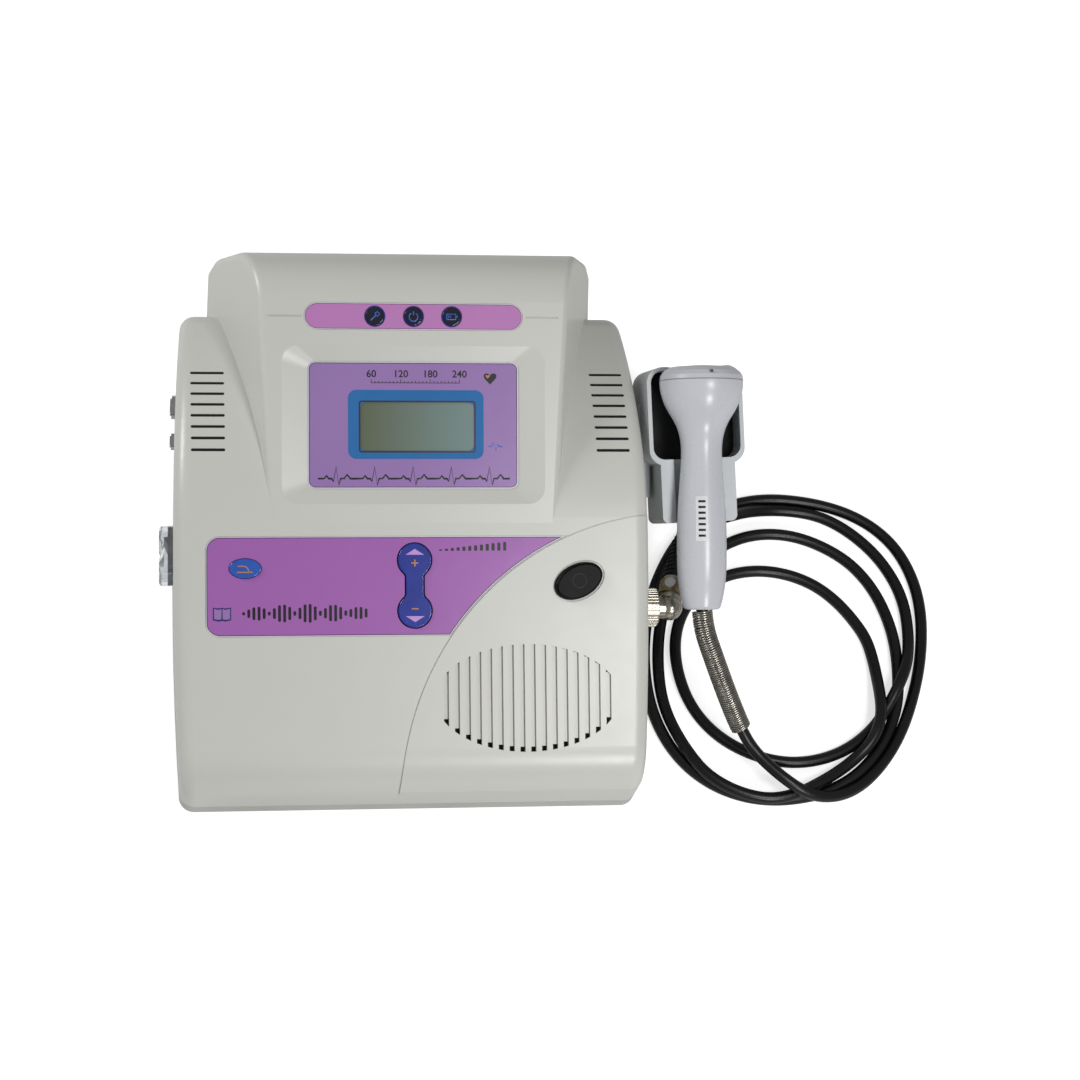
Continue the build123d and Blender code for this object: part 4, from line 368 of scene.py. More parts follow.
# Boards, sleeves, fired ceramic, paper pulp, woven cloth and glass.
SOLDER_MASK = pressed(
    "epoxy_board_green", "1E5A36", "184B2D", 0.34, 1.55, coat=0.3, drift_mm=6, grain_mm=2, depth_mm=0.03
)
CAN_SLEEVE = polished("capacitor_sleeve_slate", "39415C", "30374F", 0.3, drift_mm=10, grain_mm=2)
CELL_SLEEVE = polished("cell_sleeve_blue", "2A4E80", "234370", 0.28, drift_mm=10, grain_mm=2)
CERAMIC = pressed("piezo_ceramic_fired", "CFC3A2", "C2B592", 0.6, 1.6, drift_mm=4)
PAPER_PULP = pressed("paper_pulp_black", "1B1B1B", "262626", 0.9, drift_mm=5, grain_mm=1.2, depth_mm=0.1)
GRILLE_CLOTH = Finish(
    "polyester_cloth_black", "151516", "1C1C1D", 0.85, sheen=0.3, drift_mm=10, relief=Relief.WOVEN,
    grain_mm=0.7, depth_mm=0.12,
)
# Painted reflection: the LCD's own olive-grey fades to a lighter teal towards the right, standing for the
# reflection in its glass.
LCD_CELL = polished(
    "glass_lcd_reflective", "66705C", "7E9492", 0.12, 1.52, coat=0.5, fade=(-44.0, 4.0), grain_mm=12
)


# ---- mesh helpers
INK_HEIGHT = 0.05  # of a print above its label
STROKE_FLATNESS = 0.16  # height of an inked stroke as a share of a round one
FIGURE_SHARE = 0.7  # height of a figure as a share of its font's size
SMOOTH_TO = 30.0  # degrees up to which an edge is shaded smooth
ROUGH_MERGE = 0.001  # millimetres within which points are one


def flat_block(width: float, length: float, corner: float, segments: int = 8) -> BMesh:
    """A flat face with rounded corners, in millimetres, centred.

    Args:
        width: size along X.
        length: size along Y.
        corner: corner radius.
        segments: steps round each corner.

    Returns:
        The bmesh of one face.
    """
    bm = bmesh.new()
    bmesh.ops.create_grid(bm, x_segments=1, y_segments=1, size=0.5)
    bmesh.ops.scale(bm, vec=(width, length, 1), verts=bm.verts)
    if corner > 0:
        bmesh.ops.bevel(
            bm, geom=bm.verts[:], offset=corner, offset_type="OFFSET", segments=segments, profile=0.5,
            affect="VERTICES", material=-1, clamp_overlap=True,
        )
    return bm


def flat_disc(radius: float) -> BMesh:
    """A flat round face, in millimetres, centred.

    Args:
        radius: its radius.

    Returns:
        The bmesh of one face.
    """
    bm = bmesh.new()
    bmesh.ops.create_circle(bm, cap_ends=True, radius=radius, segments=48)
    return bm


def hollow(bm: BMesh, width: float) -> None:
    """Turns each flat face into a band along its outline.

    Args:
        bm: mesh of flat faces.
        width: width of the band.
    """
    faces = bm.faces[:]
    bmesh.ops.inset_individual(bm, faces=faces, thickness=width, use_even_offset=True)
    bmesh.ops.delete(bm, geom=faces, context="FACES_ONLY")


def thicken(bm: BMesh, height: float = INK_HEIGHT) -> None:
    """Raises flat faces into a closed solid.

    Args:
        bm: mesh of flat faces.
        height: height above them, or below where it is negative.
    """
    raised = bmesh.ops.extrude_face_region(bm, geom=bm.faces[:])["geom"]
    verts = [v for v in raised if isinstance(v, BMVert)]
    bmesh.ops.translate(bm, vec=(0, 0, height), verts=verts)
    bmesh.ops.recalc_face_normals(bm, faces=bm.faces[:])


def show(name: str, data: bpy.types.ID) -> bpy.types.Object:
    """Makes an object of data and puts it in the scene.

    Args:
        name: object name.
        data: mesh, curve, camera or light.

    Returns:
        The object.
    """
    made = bpy.data.objects.new(name, data)
    bpy.context.scene.collection.objects.link(made)
    return made


def add_piece(bm: BMesh, name: str, finish: Finish) -> bpy.types.Object:
    """Makes a piece of a mesh that is in place.

    Args:
        bm: mesh in metres, which is freed.
        name: piece name.
        finish: its finish.

    Returns:
        The object.
    """
    bmesh.ops.recalc_face_normals(bm, faces=bm.faces[:])
    mesh = bpy.data.meshes.new(name)
    bm.to_mesh(mesh)
    bm.free()
    mesh.materials.append(finish.material())
    mesh.shade_smooth()
    return show(name, mesh)


def settle(bm: BMesh, name: str, place: Matrix, finish: Finish, body: str = "console") -> None:
    """Puts a mesh in place as a piece that rides on a body.

    Args:
        bm: mesh in its own coordinates.
        name: piece name.
        place: matrix to metres in the row frame.
        finish: its finish.
        body: body that carries it.
    """
    bmesh.ops.transform(bm, matrix=place, verts=bm.verts)
    piece = add_piece(bm, name, finish)
    piece.data.set_sharp_from_angle(angle=math.radians(SMOOTH_TO))
    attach(piece, body)
    log.info("%s rides on %s", name, body)


def curve_mesh(curve: bpy.types.Curve) -> BMesh:
    """The mesh of a curve, merged.

    Args:
        curve: curve data, which is removed.

    Returns:
        The bmesh.
    """
    holder = show("line", curve)
    bpy.context.view_layer.update()
    mesh = bpy.data.meshes.new_from_object(holder.evaluated_get(bpy.context.evaluated_depsgraph_get()))
    bm = bmesh.new()
    bm.from_mesh(mesh)
    bpy.data.objects.remove(holder)
    bpy.data.meshes.remove(mesh)
    bmesh.ops.remove_doubles(bm, verts=bm.verts, dist=1e-6)
    return bm


def stroke(lines: list[list[Pair]], width: float) -> BMesh:
    """Inked strokes along lines of points, low and rounded.

    Args:
        lines: points in millimetres, line by line.
        width: stroke width.

    Returns:
        The bmesh, in millimetres.
    """
    curve = bpy.data.curves.new("stroke", "CURVE")
    curve.dimensions = "3D"
    curve.bevel_depth = width / 2
    curve.bevel_resolution = 2
    curve.use_fill_caps = True
    for points in lines:
        spline = curve.splines.new("POLY")
        spline.points.add(len(points) - 1)
        for target, (x, y) in zip(spline.points, points):
            target.co = (x, y, 0, 1)
    bm = curve_mesh(curve)
    bmesh.ops.scale(bm, vec=(1, 1, STROKE_FLATNESS), verts=bm.verts)
    return bm


def arc(x: float, y: float, radius: float, start: float, end: float, steps: int = 20) -> list[Pair]:
    """Points along an arc.

    Args:
        x: centre across.
        y: centre up.
        radius: radius.
        start: first angle in degrees.
        end: last angle in degrees.
        steps: number of steps.

    Returns:
        Points.
    """
    angles = [math.radians(start + (end - start) * i / steps) for i in range(steps + 1)]
    return [(x + radius * math.cos(a), y + radius * math.sin(a)) for a in angles]


def numerals(text: str, height: float) -> BMesh:
    """Plain scale numbers as a flat solid, centred.

    Args:
        text: the number.
        height: height of its figures in millimetres.

    Returns:
        The bmesh, in millimetres.
    """
    curve = bpy.data.curves.new("numerals", "FONT")
    curve.body = text
    curve.size = height / FIGURE_SHARE
    curve.align_x, curve.align_y = "CENTER", "CENTER"
    curve.extrude = 0.03
    curve.offset = height * 0.02
    curve.resolution_u = 4
    return curve_mesh(curve)


def dress(finish: Finish, *nodes: str) -> None:
    """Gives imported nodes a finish.

    Args:
        finish: the finish.
        nodes: node names.
    """
    for name in nodes:
        node = frame["nodes"][name]
        for slot in node.material_slots:
            slot.material = finish.material()
        if not node.material_slots:
            node.data.materials.append(finish.material())
        log.info("%s is %s", name, finish.name)


# ---- studio
@dataclass(frozen=True)
class Lamp:
    """A square soft light, in millimetres and watts."""

    name: str
    at: Triple
    towards: Triple
    size: float
    watts: float

    def build(self) -> None:
        """Adds the light."""
        data = bpy.data.lights.new(self.name, "AREA")
        data.size, data.energy = self.size * MM, self.watts
        lamp = show(self.name, data)
        lamp.location = Vector(self.at) * MM
        lamp.rotation_euler = (Vector(self.towards) - Vector(self.at)).to_track_quat("-Z", "Y").to_euler()


@dataclass
class Studio:
    """Camera, soft lights, white surroundings and a pale floor."""

    camera_at: Triple = (-146.25, -481.16, 1071.16)
    camera_turn: Triple = (25.1039, -5.7442, -2.8773)
    lens: float = 75.687
    sensor: float = 36.0
    shift: float = 0.1185
    clip: Pair = (0.05, 20.0)
    ambient: float = 0.25
    floor_half: float = 4.0  # metres
    floor_white: float = 0.66
    lamps: tuple[Lamp, ...] = (
        Lamp("window", (-900, 420, 640), (0, -20, 50), 400, 5.0),
        Lamp("front", (330, -860, 600), (40, -100, 20), 190, 3.0),
        Lamp("flash", (330, -420, 860), (60, -60, 50), 200, 2.4),
    )

    def build(self) -> None:
        """Sets up view, camera, world, lights and floor."""
        bpy.context.scene.view_settings.view_transform = "Standard"
        self.camera()
        self.world()
        for lamp in self.lamps:
            lamp.build()
        self.floor()

    def camera(self) -> None:
        """Places the camera."""
        data = bpy.data.cameras.new("camera")
        data.lens, data.sensor_width, data.shift_x = self.lens, self.sensor, self.shift
        data.clip_start, data.clip_end = self.clip
        camera = show("camera", data)
        camera.location = Vector(self.camera_at) * MM
        camera.rotation_euler = [math.radians(a) for a in self.camera_turn]
        bpy.context.scene.camera = camera

    def seen(self, tree: NodeTree) -> NodeSocket:
        """One where a ray comes from the camera or through glass.

        Args:
            tree: node tree.

        Returns:
            Socket of 0 or 1.
        """
        path = add_node(tree, "ShaderNodeLightPath")
        camera, glass = path.outputs["Is Camera Ray"], path.outputs["Is Transmission Ray"]
        either = add_node(tree, "ShaderNodeMath", {"operation": "MAXIMUM"}, {0: camera, 1: glass})
        return either.outputs[0]

    def world(self) -> None:
        """White surroundings that light the object plainly."""
        world = bpy.data.worlds.new("studio")
        world.use_nodes = True
        tree = world.node_tree
        tree.nodes.clear()
        level = add_node(
            tree, "ShaderNodeMapRange", {"To Min": self.ambient, "To Max": 1.0}, {"Value": self.seen(tree)}
        )
        back = add_node(tree, "ShaderNodeBackground", {"Color": (1, 1, 1, 1)}, {"Strength": level.outputs[0]})
        add_node(tree, "ShaderNodeOutputWorld", None, {"Surface": back.outputs[0]})
        bpy.context.scene.world = world

    def floor(self) -> None:
        """A wide pale table that keeps the object's shadow."""
        bm = bmesh.new()
        bmesh.ops.create_grid(bm, x_segments=1, y_segments=1, size=self.floor_half)
        mesh = bpy.data.meshes.new("table")
        bm.to_mesh(mesh)
        bm.free()
        made = bpy.data.materials.new("table_laminate_pale")
        made.use_nodes = True
        tree = made.node_tree
        tree.nodes.clear()
        matt = add_node(tree, "ShaderNodeBsdfDiffuse", {"Color": linear("E9E9E9")})
        white = add_node(
            tree,
            "ShaderNodeMapRange",
            {"To Min": 0.0, "To Max": self.floor_white},
            {"Value": self.seen(tree)},
        )
        glow = add_node(tree, "ShaderNodeEmission", {"Color": (1, 1, 1, 1)}, {"Strength": white.outputs[0]})
        both = add_node(tree, "ShaderNodeAddShader", None, {0: matt.outputs[0], 1: glow.outputs[0]})
        add_node(tree, "ShaderNodeOutputMaterial", None, {"Surface": both.outputs[0]})
        mesh.materials.append(made)
        show("table", mesh)


# ---- cord
@dataclass
class ProbeCord:
    """The probe's cord in loose turns on the table, and the wire spring where it leaves the probe."""

    radius: float = 3.0
    wire: float = 0.55
    wire_steps: int = 14  # points round one turn of the spring
    spring_radius: float = 4.75
    pitch: float = 1.12
    spring_from: float = 4.6  # along the cord, at the probe's end
    spring_to: float = 69.0
    bend_from: Triple = (122.1, -44.7, 57.9)
    bend_to: Triple = (126.6, -38.2, 32.4)
    route: list[tuple[float, ...]] = field(  # a point without a height lies on the table
        default_factory=lambda: [
            (121.25, -45.95, 62.48), (121.25, -55.92, 57.83), (127.85, -70.85, 48.6),
            (136.05, -86.25, 36.0), (144.55, -99.55, 23.5), (151.15, -108.25, 17.8), (159.6, -117.2, 16.6),
            (167.9, -124.4, 15.8), (176.6, -129.2, 13.2), (186.6, -130.6, 9.6), (197.6, -128.4, 6.4),
            (209.1, -122.4, 3.6),
            # outermost turn
            (219.6, -113.2), (228.8, -102.0), (236.6, -89.0), (242.8, -75.0), (248.0, -60.5),
            (251.6, -46.0), (253.8, -31.0), (253.8, -16.0), (250.8, -1.5), (244.8, 11.5), (235.2, 22.3),
            (222.8, 30.3), (208.6, 35.4), (193.6, 38.3), (178.6, 39.2), (164.1, 37.3), (150.1, 32.4),
            (137.6, 24.4), (127.1, 13.8), (118.8, 1.0), (112.2, -12.5), (107.4, -27.0), (104.3, -41.5),
            (102.9, -56.0), (103.1, -70.0), (105.1, -82.5), (109.2, -94.5), (115.2, -105.3),
            (123.6, -114.8), (135.1, -122.8), (148.6, -127.8), (162.6, -129.6), (176.6, -128.6),
            (189.6, -125.8),
            # second turn
            (202.1, -120.4), (213.2, -112.0), (222.6, -101.2), (229.8, -89.2), (234.6, -76.2),
            (236.9, -61.5), (237.5, -45.6), (235.7, -31.0), (230.7, -15.0), (221.6, -0.8), (210.0, 8.8),
            (194.9, 16.2), (180.0, 18.9), (166.0, 17.6), (153.8, 13.0), (142.9, 6.3), (132.0, -1.8),
            (123.6, -10.6), (118.0, -19.5), (114.2, -30.5), (111.4, -43.5), (110.0, -57.5), (110.1, -71.5),
            (112.2, -84.0, 4.0), (115.8, -95.6, 6.4), (120.4, -106.4, 8.8), (126.6, -115.8, 9.2),
            (136.1, -123.4, 9.2), (148.1, -128.8, 9.2), (161.1, -131.0, 9.2), (175.1, -127.8, 9.4),
            (187.8, -121.2, 7.2),
            # inner turn
            (199.0, -114.4, 4.4), (208.4, -107.6, 4.8), (215.6, -101.0, 7.8), (220.0, -93.6, 9.6),
            (222.8, -85.0, 9.6), (223.9, -75.4, 7.8), (224.8, -64.5, 4.0), (224.4, -53.5), (222.5, -42.0),
            (216.6, -30.8), (208.8, -20.2), (199.2, -11.6), (187.6, -5.9), (175.1, -3.0), (162.6, -3.0),
            (150.6, -5.8), (140.1, -11.5), (131.2, -19.2), (124.8, -28.6), (120.9, -39.5), (119.6, -51.5),
            (120.8, -64.0), (124.2, -76.0), (130.0, -86.6), (138.3, -95.6), (148.8, -102.6),
            (160.8, -107.6), (173.8, -109.9), (187.2, -108.9), (200.2, -104.9), (211.6, -98.3),
            (221.2, -89.8),
            # back to the plug
            (228.0, -80.8, 5.6), (234.0, -70.8, 9.6), (239.6, -60.5, 8.8), (243.4, -50.0, 5.0),
            (245.5, -38.5, 3.1), (245.8, -23.8), (242.4, -9.2), (234.4, 6.2), (221.4, 20.0), (207.0, 28.9),
            (192.0, 32.1), (178.0, 32.4, 3.4), (165.8, 29.6, 7.2), (156.2, 25.0, 12.6),
            (148.15, 20.75, 17.6), (142.2, 19.0, 23.4), (135.2, 15.8, 30.0), (127.5, 10.6, 35.8),
            (122.12, 5.13, 38.0), (120.7, -0.19, 38.0),
        ]
    )

    def controls(self) -> list[Vector]:
        """Control points of the cord's line.

        Returns:
            Points in metres, in order.
        """
        return [Vector([c * MM for c in (*point, self.radius)[:3]]) for point in self.route]

    def line(self) -> list[Vector]:
        """Points of the smooth line through the route.

        Returns:
            Points in metres, in order.
        """
        bm = curve_mesh(self.spline(0.0))
        bm.verts.ensure_lookup_table()
        ends = [v for v in bm.verts if len(v.link_edges) == 1]
        here = min(ends, key=lambda v: (v.co - self.controls()[0]).length)
        points, edge = [here.co.copy()], None
        while True:
            onward = [e for e in here.link_edges if e is not edge]
            if not onward:
                break
            edge = onward[0]
            here = edge.other_vert(here)
            points.append(here.co.copy())
        bm.free()
        return points

    def spline(self, bevel: float) -> bpy.types.Curve:
        """The cord's curve: one open NURBS spline.

        Args:
            bevel: its radius in millimetres, or 0 for the bare line.

        Returns:
            The curve data.
        """
        curve = bpy.data.curves.new("probe_cord_line", "CURVE")
        curve.dimensions = "3D"
        curve.resolution_u = 5
        curve.bevel_depth = bevel * MM
        curve.bevel_resolution = 4
        curve.use_fill_caps = bevel > 0
        spline = curve.splines.new("NURBS")
        spline.points.add(len(self.route) - 1)
        for target, point in zip(spline.points, self.controls()):
            target.co = (*point, 1)
        spline.order_u = 3
        spline.use_endpoint_u = True
        return curve

    def build(self) -> None:
        """Makes the cord and its spring, which run between the probe and the console."""
        line = self.line()
        cord = self.free_piece(curve_mesh(self.spline(self.radius)), "probe_cord", CORD_RUBBER)
        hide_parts("cord_lead", "cord_coil", "cord_tail")
        spring = self.free_piece(self.helix(line), "spring_wire", SPRING_WIRE)
        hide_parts("spring_relief")

    def free_piece(self, bm: BMesh, name: str, finish: Finish) -> bpy.types.Object:
        """A mesh put in place, with its transform baked in.

        Args:
            bm: mesh in metres.
            name: piece name.
            finish: its finish.

        Returns:
            The object.
        """
        piece = add_piece(bm, name, finish)
        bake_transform(piece)
        return piece

    def helix(self, line: list[Vector]) -> BMesh:
        """Close-wound wire round the cord below the probe.

        Args:
            line: the cord's line, in metres.

        Returns:
            The bmesh, in metres.
        """
        curve = bpy.data.curves.new("spring_line", "CURVE")
        curve.dimensions = "3D"
        curve.bevel_depth = self.wire * MM
        curve.bevel_resolution = 1
        curve.use_fill_caps = True
        spline = curve.splines.new("POLY")
        count = int((self.spring_to - self.spring_from) / self.pitch * self.wire_steps)
        spline.points.add(count)
        side = Vector((1, 0, 0))
        for i in range(count + 1):
            run = (self.spring_from + i * self.pitch / self.wire_steps) * MM
            point, along = self.walk(line, run)
            side = (side - along * side.dot(along)).normalized()
            turn = math.tau * i / self.wire_steps
            out = side * math.cos(turn) + along.cross(side) * math.sin(turn)
            spline.points[i].co = (*(point + out * self.spring_radius * MM), 1)
        return curve_mesh(curve)

    def walk(self, line: list[Vector], run: float) -> tuple[Vector, Vector]:
        """Place and direction this far along the line.

        Args:
            line: points in metres.
            run: distance in metres.

        Returns:
            The point and the unit direction there.
        """
        for a, b in zip(line, line[1:]):
            step = (b - a).length
            if run <= step:
                return a.lerp(b, run / step), (b - a).normalized()
            run -= step
        return line[-1], (line[-1] - line[-2]).normalized()


# ---- the object's sub-assemblies
@dataclass
class Case:
    """The console's mouldings, feet and screws, what the case hides, floors that close its grille slots, and
    black strips of painted shade in its vent slots.
    """

    grille_at: Pair = (54.4, -111.8)
    grille_half: Pair = (45.0, 26.0)
    slots: int = 16
    slot_pitch: float = 5.3
    slot_floor: float = 2.6
    slot_floor_out: float = -0.6
    slot_open: float = 2.4  # left open at the lower end of each slot
    floor_thickness: float = 0.6
    vents: int = 8
    vent_x: float = 99.1
    vent_pitch: float = 6.2
    vent_first_y: float = 9.5
    vent_shade_length: float = 17.0
    vent_shade_width: float = 1.8
    vent_shade_depth: float = 0.3
    vent_shade_thickness: float = 0.5
    above: float = 200.0  # height from which the wing is felt for

    def build(self) -> None:
        """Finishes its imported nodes."""
        dress(CASE_ABS, "upper_shell")
        dress(TRAY_ABS, "base_tray")
        dress(FOOT_RUBBER, "rubber_feet")
        dress(ZINC, "case_screws", "board_screws", "panel_screws", "holder_screws")
        dress(GRILLE_CLOTH, "speaker_cloth")
        dress(BLACK_STEEL, "speaker_basket", "transformer_core")
        dress(PAPER_PULP, "speaker_cone")
        dress(ZINC, "speaker_magnet")
        dress(SOLDER_MASK, "main_board", "lcd_board", "indicator_board", "key_board", "probe_board")
        dress(SWITCH_PLASTIC, "board_chips", "key_switches", "battery_holder")
        dress(CAN_SLEEVE, "capacitors")
        dress(COPPER, "transformer_coil")
        dress(CELL_SLEEVE, "battery_cells")
        self.grille_floor()
        self.painted_vent_shade("left", -1)
        self.painted_vent_shade("right", 1)

    def grille_floor(self) -> None:
        """Closes each slot of the grille low down, except at its lower end."""
        strips = bmesh.new()
        for k in range(self.slots):
            across = (k - (self.slots - 1) / 2) * self.slot_pitch
            reach = self.grille_half[1] * math.sqrt(1 - (across / self.grille_half[0]) ** 2)
            strip = bmesh.ops.create_grid(strips, x_segments=1, y_segments=1, size=0.5)["verts"]
            bmesh.ops.scale(strips, vec=(self.slot_floor, 2 * reach - self.slot_open, 1), verts=strip)
            bmesh.ops.translate(strips, vec=(across, self.slot_open / 2, 0), verts=strip)
        thicken(strips, -self.floor_thickness)
        settle(strips, "grille_floor", MAIN.at(*self.grille_at, self.slot_floor_out), CASE_ABS)

    def painted_vent_shade(self, name: str, side: int) -> None:
        """Lays a black strip in each slot of one wing: painted shade for the dark inside the vent.

        Args:
            name: which wing.
            side: 1 on the right, -1 on the left.
        """
        shell = frame["nodes"]["upper_shell"]
        # Painted shade: black strips just under the wing's surface darken each vent slot.
        vent_shade_strips = bmesh.new()
        first = Vector(FACE.origin) + Vector((side * self.vent_x, self.vent_first_y, 0))
        for k in range(self.vents):
            strip = bmesh.ops.create_grid(vent_shade_strips, x_segments=4, y_segments=1, size=0.5)["verts"]
            for vert in strip:
                x = first.x + vert.co.x * self.vent_shade_length
                y = first.y + k * self.vent_pitch
                beside = [
                    shell.ray_cast(Vector((x, y + step, self.above)) * MM, Vector((0, 0, -1)))[1].z / MM
                    for step in (-self.vent_pitch / 2, self.vent_pitch / 2)
                ]
                slope = (beside[1] - beside[0]) / self.vent_pitch
                out = vert.co.y * self.vent_shade_width
                vert.co = (x, y + out, sum(beside) / 2 + slope * out - self.vent_shade_depth)
        thicken(vent_shade_strips, -self.vent_shade_thickness)
        settle(vent_shade_strips, f"painted_vent_shade_{name}", Matrix.Scale(MM, 4), VENT_SHADE_BLACK)


@dataclass
class Display:
    """The display label with its printed white border, a dark line of painted shade inside it, its window
    frame, scale, trace and heart.
    """

    width: float = 102.2
    length: float = 61.0
    middle: float = 20.5
    corner: float = 3.5
    window: tuple[float, float, float, float] = (1.9, 19.8, 55.5, 23.6)
    frame: tuple[float, float, float, float] = (1.2, 20.85, 66.1, 33.4)
    window_line: float = 0.8
    over: float = 0.02  # of a print that lies on another one
    scale_span: Pair = (-20.5, 22.5)
    scale_base: float = 41.0
    ticks: int = 24
    long_every: int = 8
    tick_heights: Pair = (1.7, 0.9)  # long and short
    number_height: float = 3.4
    number_rise: float = 4.2
    trace_at: Pair = (-46.4, -5.4)
    beats: int = 5
    beat_pitch: float = 18.7
    mark_at: Pair = (36.5, 10.2)

    def build(self) -> None:
        """Finishes the label's nodes and prints it."""
        dress(DISPLAY_FILM, "display_overlay")
        dress(LCD_CELL, "lcd_glass")
        dress(LIGHT_GUIDE, "lcd_backlight")
        self.border("display_edge_white", 0.0, 0.3, WHITE_INK)
        # Painted shade: a dark line just inside the white edge, standing for the shadow along the label's
        # edge.
        self.border("display_edge_painted_shade", 0.3, 0.35, DARK_INK_AND_SHADE)
        self.window_frame()
        self.scale()
        self.trace()
        self.heart()

    def border(self, name: str, inset: float, width: float, finish: Finish) -> None:
        """Prints a line along the label's outline.

        Args:
            name: piece name.
            inset: distance from the outline.
            width: line width.
            finish: its ink.
        """
        bm = flat_block(self.width - 2 * inset, self.length - 2 * inset, max(self.corner - inset, 0.5))
        hollow(bm, width)
        thicken(bm)
        settle(bm, name, FACE.at(0, self.middle), finish)

    def window_frame(self) -> None:
        """Prints the blue frame round the window, and the dark line inside it."""
        x, y, width, length = self.frame
        wx, wy, wide, long = self.window
        dark = 2 * self.window_line
        for name, size, inner, corner, finish, out in (
            ("window_frame_blue", (width, length), (wide, long), 4.0, BLUE_FILM, 0.0),
            ("window_line_dark", (wide + dark, long + dark), (wide, long), 1.4, DARK_INK_AND_SHADE, self.over),
        ):
            bm = flat_block(*size, corner)
            face = bm.faces[:]
            bmesh.ops.inset_individual(bm, faces=face, thickness=min(corner * 0.5, 0.6), use_even_offset=True)
            inside = list(face[0].verts)
            half_x = max(abs(v.co.x) for v in inside)
            half_y = max(abs(v.co.y) for v in inside)
            bmesh.ops.scale(bm, vec=(inner[0] / 2 / half_x, inner[1] / 2 / half_y, 1), verts=inside)
            shift = (wx - x, wy - y, 0) if finish is BLUE_FILM else (0, 0, 0)
            bmesh.ops.translate(bm, vec=shift, verts=inside)
            bmesh.ops.delete(bm, geom=face, context="FACES_ONLY")
            thicken(bm)
            spot = (x, y) if finish is BLUE_FILM else (wx, wy)
            settle(bm, name, FACE.at(*spot, out), finish)

    def scale(self) -> None:
        """Prints a plain rate scale with numbers."""
        (left, right), base = self.scale_span, self.scale_base
        strokes = [[(left, base), (right, base)]]
        for i in range(self.ticks + 1):
            x = left + (right - left) * i / self.ticks
            strokes.append([(x, base), (x, base + self.tick_heights[i % self.long_every > 0])])
        settle(stroke(strokes, 0.32), "scale_ticks", FACE.at(0, 0, self.over), BLACK_INK)
        for i, number in enumerate(("60", "120", "180", "240")):
            x = left + (right - left) * i / 3
            place = FACE.at(x, base + self.number_rise, self.over)
            settle(numerals(number, self.number_height), f"scale_number_{number}", place, BLACK_INK)

    def trace(self) -> None:
        """Prints a beating pulse line below the window, and a small blue one beside it."""
        beat = [
            (0, 0), (3.0, 0), (4.1, 1.4), (5.2, 0), (6.6, 0), (7.4, -1.3), (8.7, 5.6), (10.0, -3.0),
            (10.9, 0), (12.6, 0), (14.1, 1.9), (15.7, 0),
        ]
        points = [(x + self.beat_pitch * k, y) for k in range(self.beats) for x, y in beat]
        points.append((self.beat_pitch * self.beats, 0))
        settle(stroke([points], 0.95), "pulse_trace", FACE.at(*self.trace_at, self.over), BLACK_INK)
        small = [(0, 0), (1.6, 0), (2.6, 2.2), (3.8, -2.0), (4.8, 1.1), (5.5, 0), (7.2, 0)]
        settle(stroke([small], 0.6), "pulse_mark_blue", FACE.at(*self.mark_at, self.over), BLUE_INK)

    def heart(self) -> None:
        """Prints a small dark heart with a paler glint."""
        for name, size, place, finish in (
            ("heart_mark", 3.15, (37.5, 43.3, 0.0), BLACK_INK),
            ("heart_glint", 1.0, (36.3, 44.2, 0.05), ORANGE_INK),
        ):
            curve = bpy.data.curves.new(name, "CURVE")
            curve.dimensions, curve.fill_mode = "2D", "BOTH"
            curve.extrude, curve.resolution_u = INK_HEIGHT / 2, 10
            spline = curve.splines.new("BEZIER")
            spline.bezier_points.add(3)
            knots = (
                ((0, 0.45), (-0.25, 0.95), (0.25, 0.95)),
                ((1.0, 0.42), (1.0, 0.85), (1.0, -0.1)),
                ((0, -0.95), (0.35, -0.5), (-0.35, -0.5)),
                ((-1.0, 0.42), (-1.0, -0.1), (-1.0, 0.85)),
            )
            for knot, (at, left, right) in zip(spline.bezier_points, knots):
                knot.co = (at[0] * size, at[1] * size, 0)
                knot.handle_left = (left[0] * size, left[1] * size, 0)
                knot.handle_right = (right[0] * size, right[1] * size, 0)
            spline.use_cyclic_u = True
            settle(curve_mesh(curve), name, FACE.at(*place), finish)


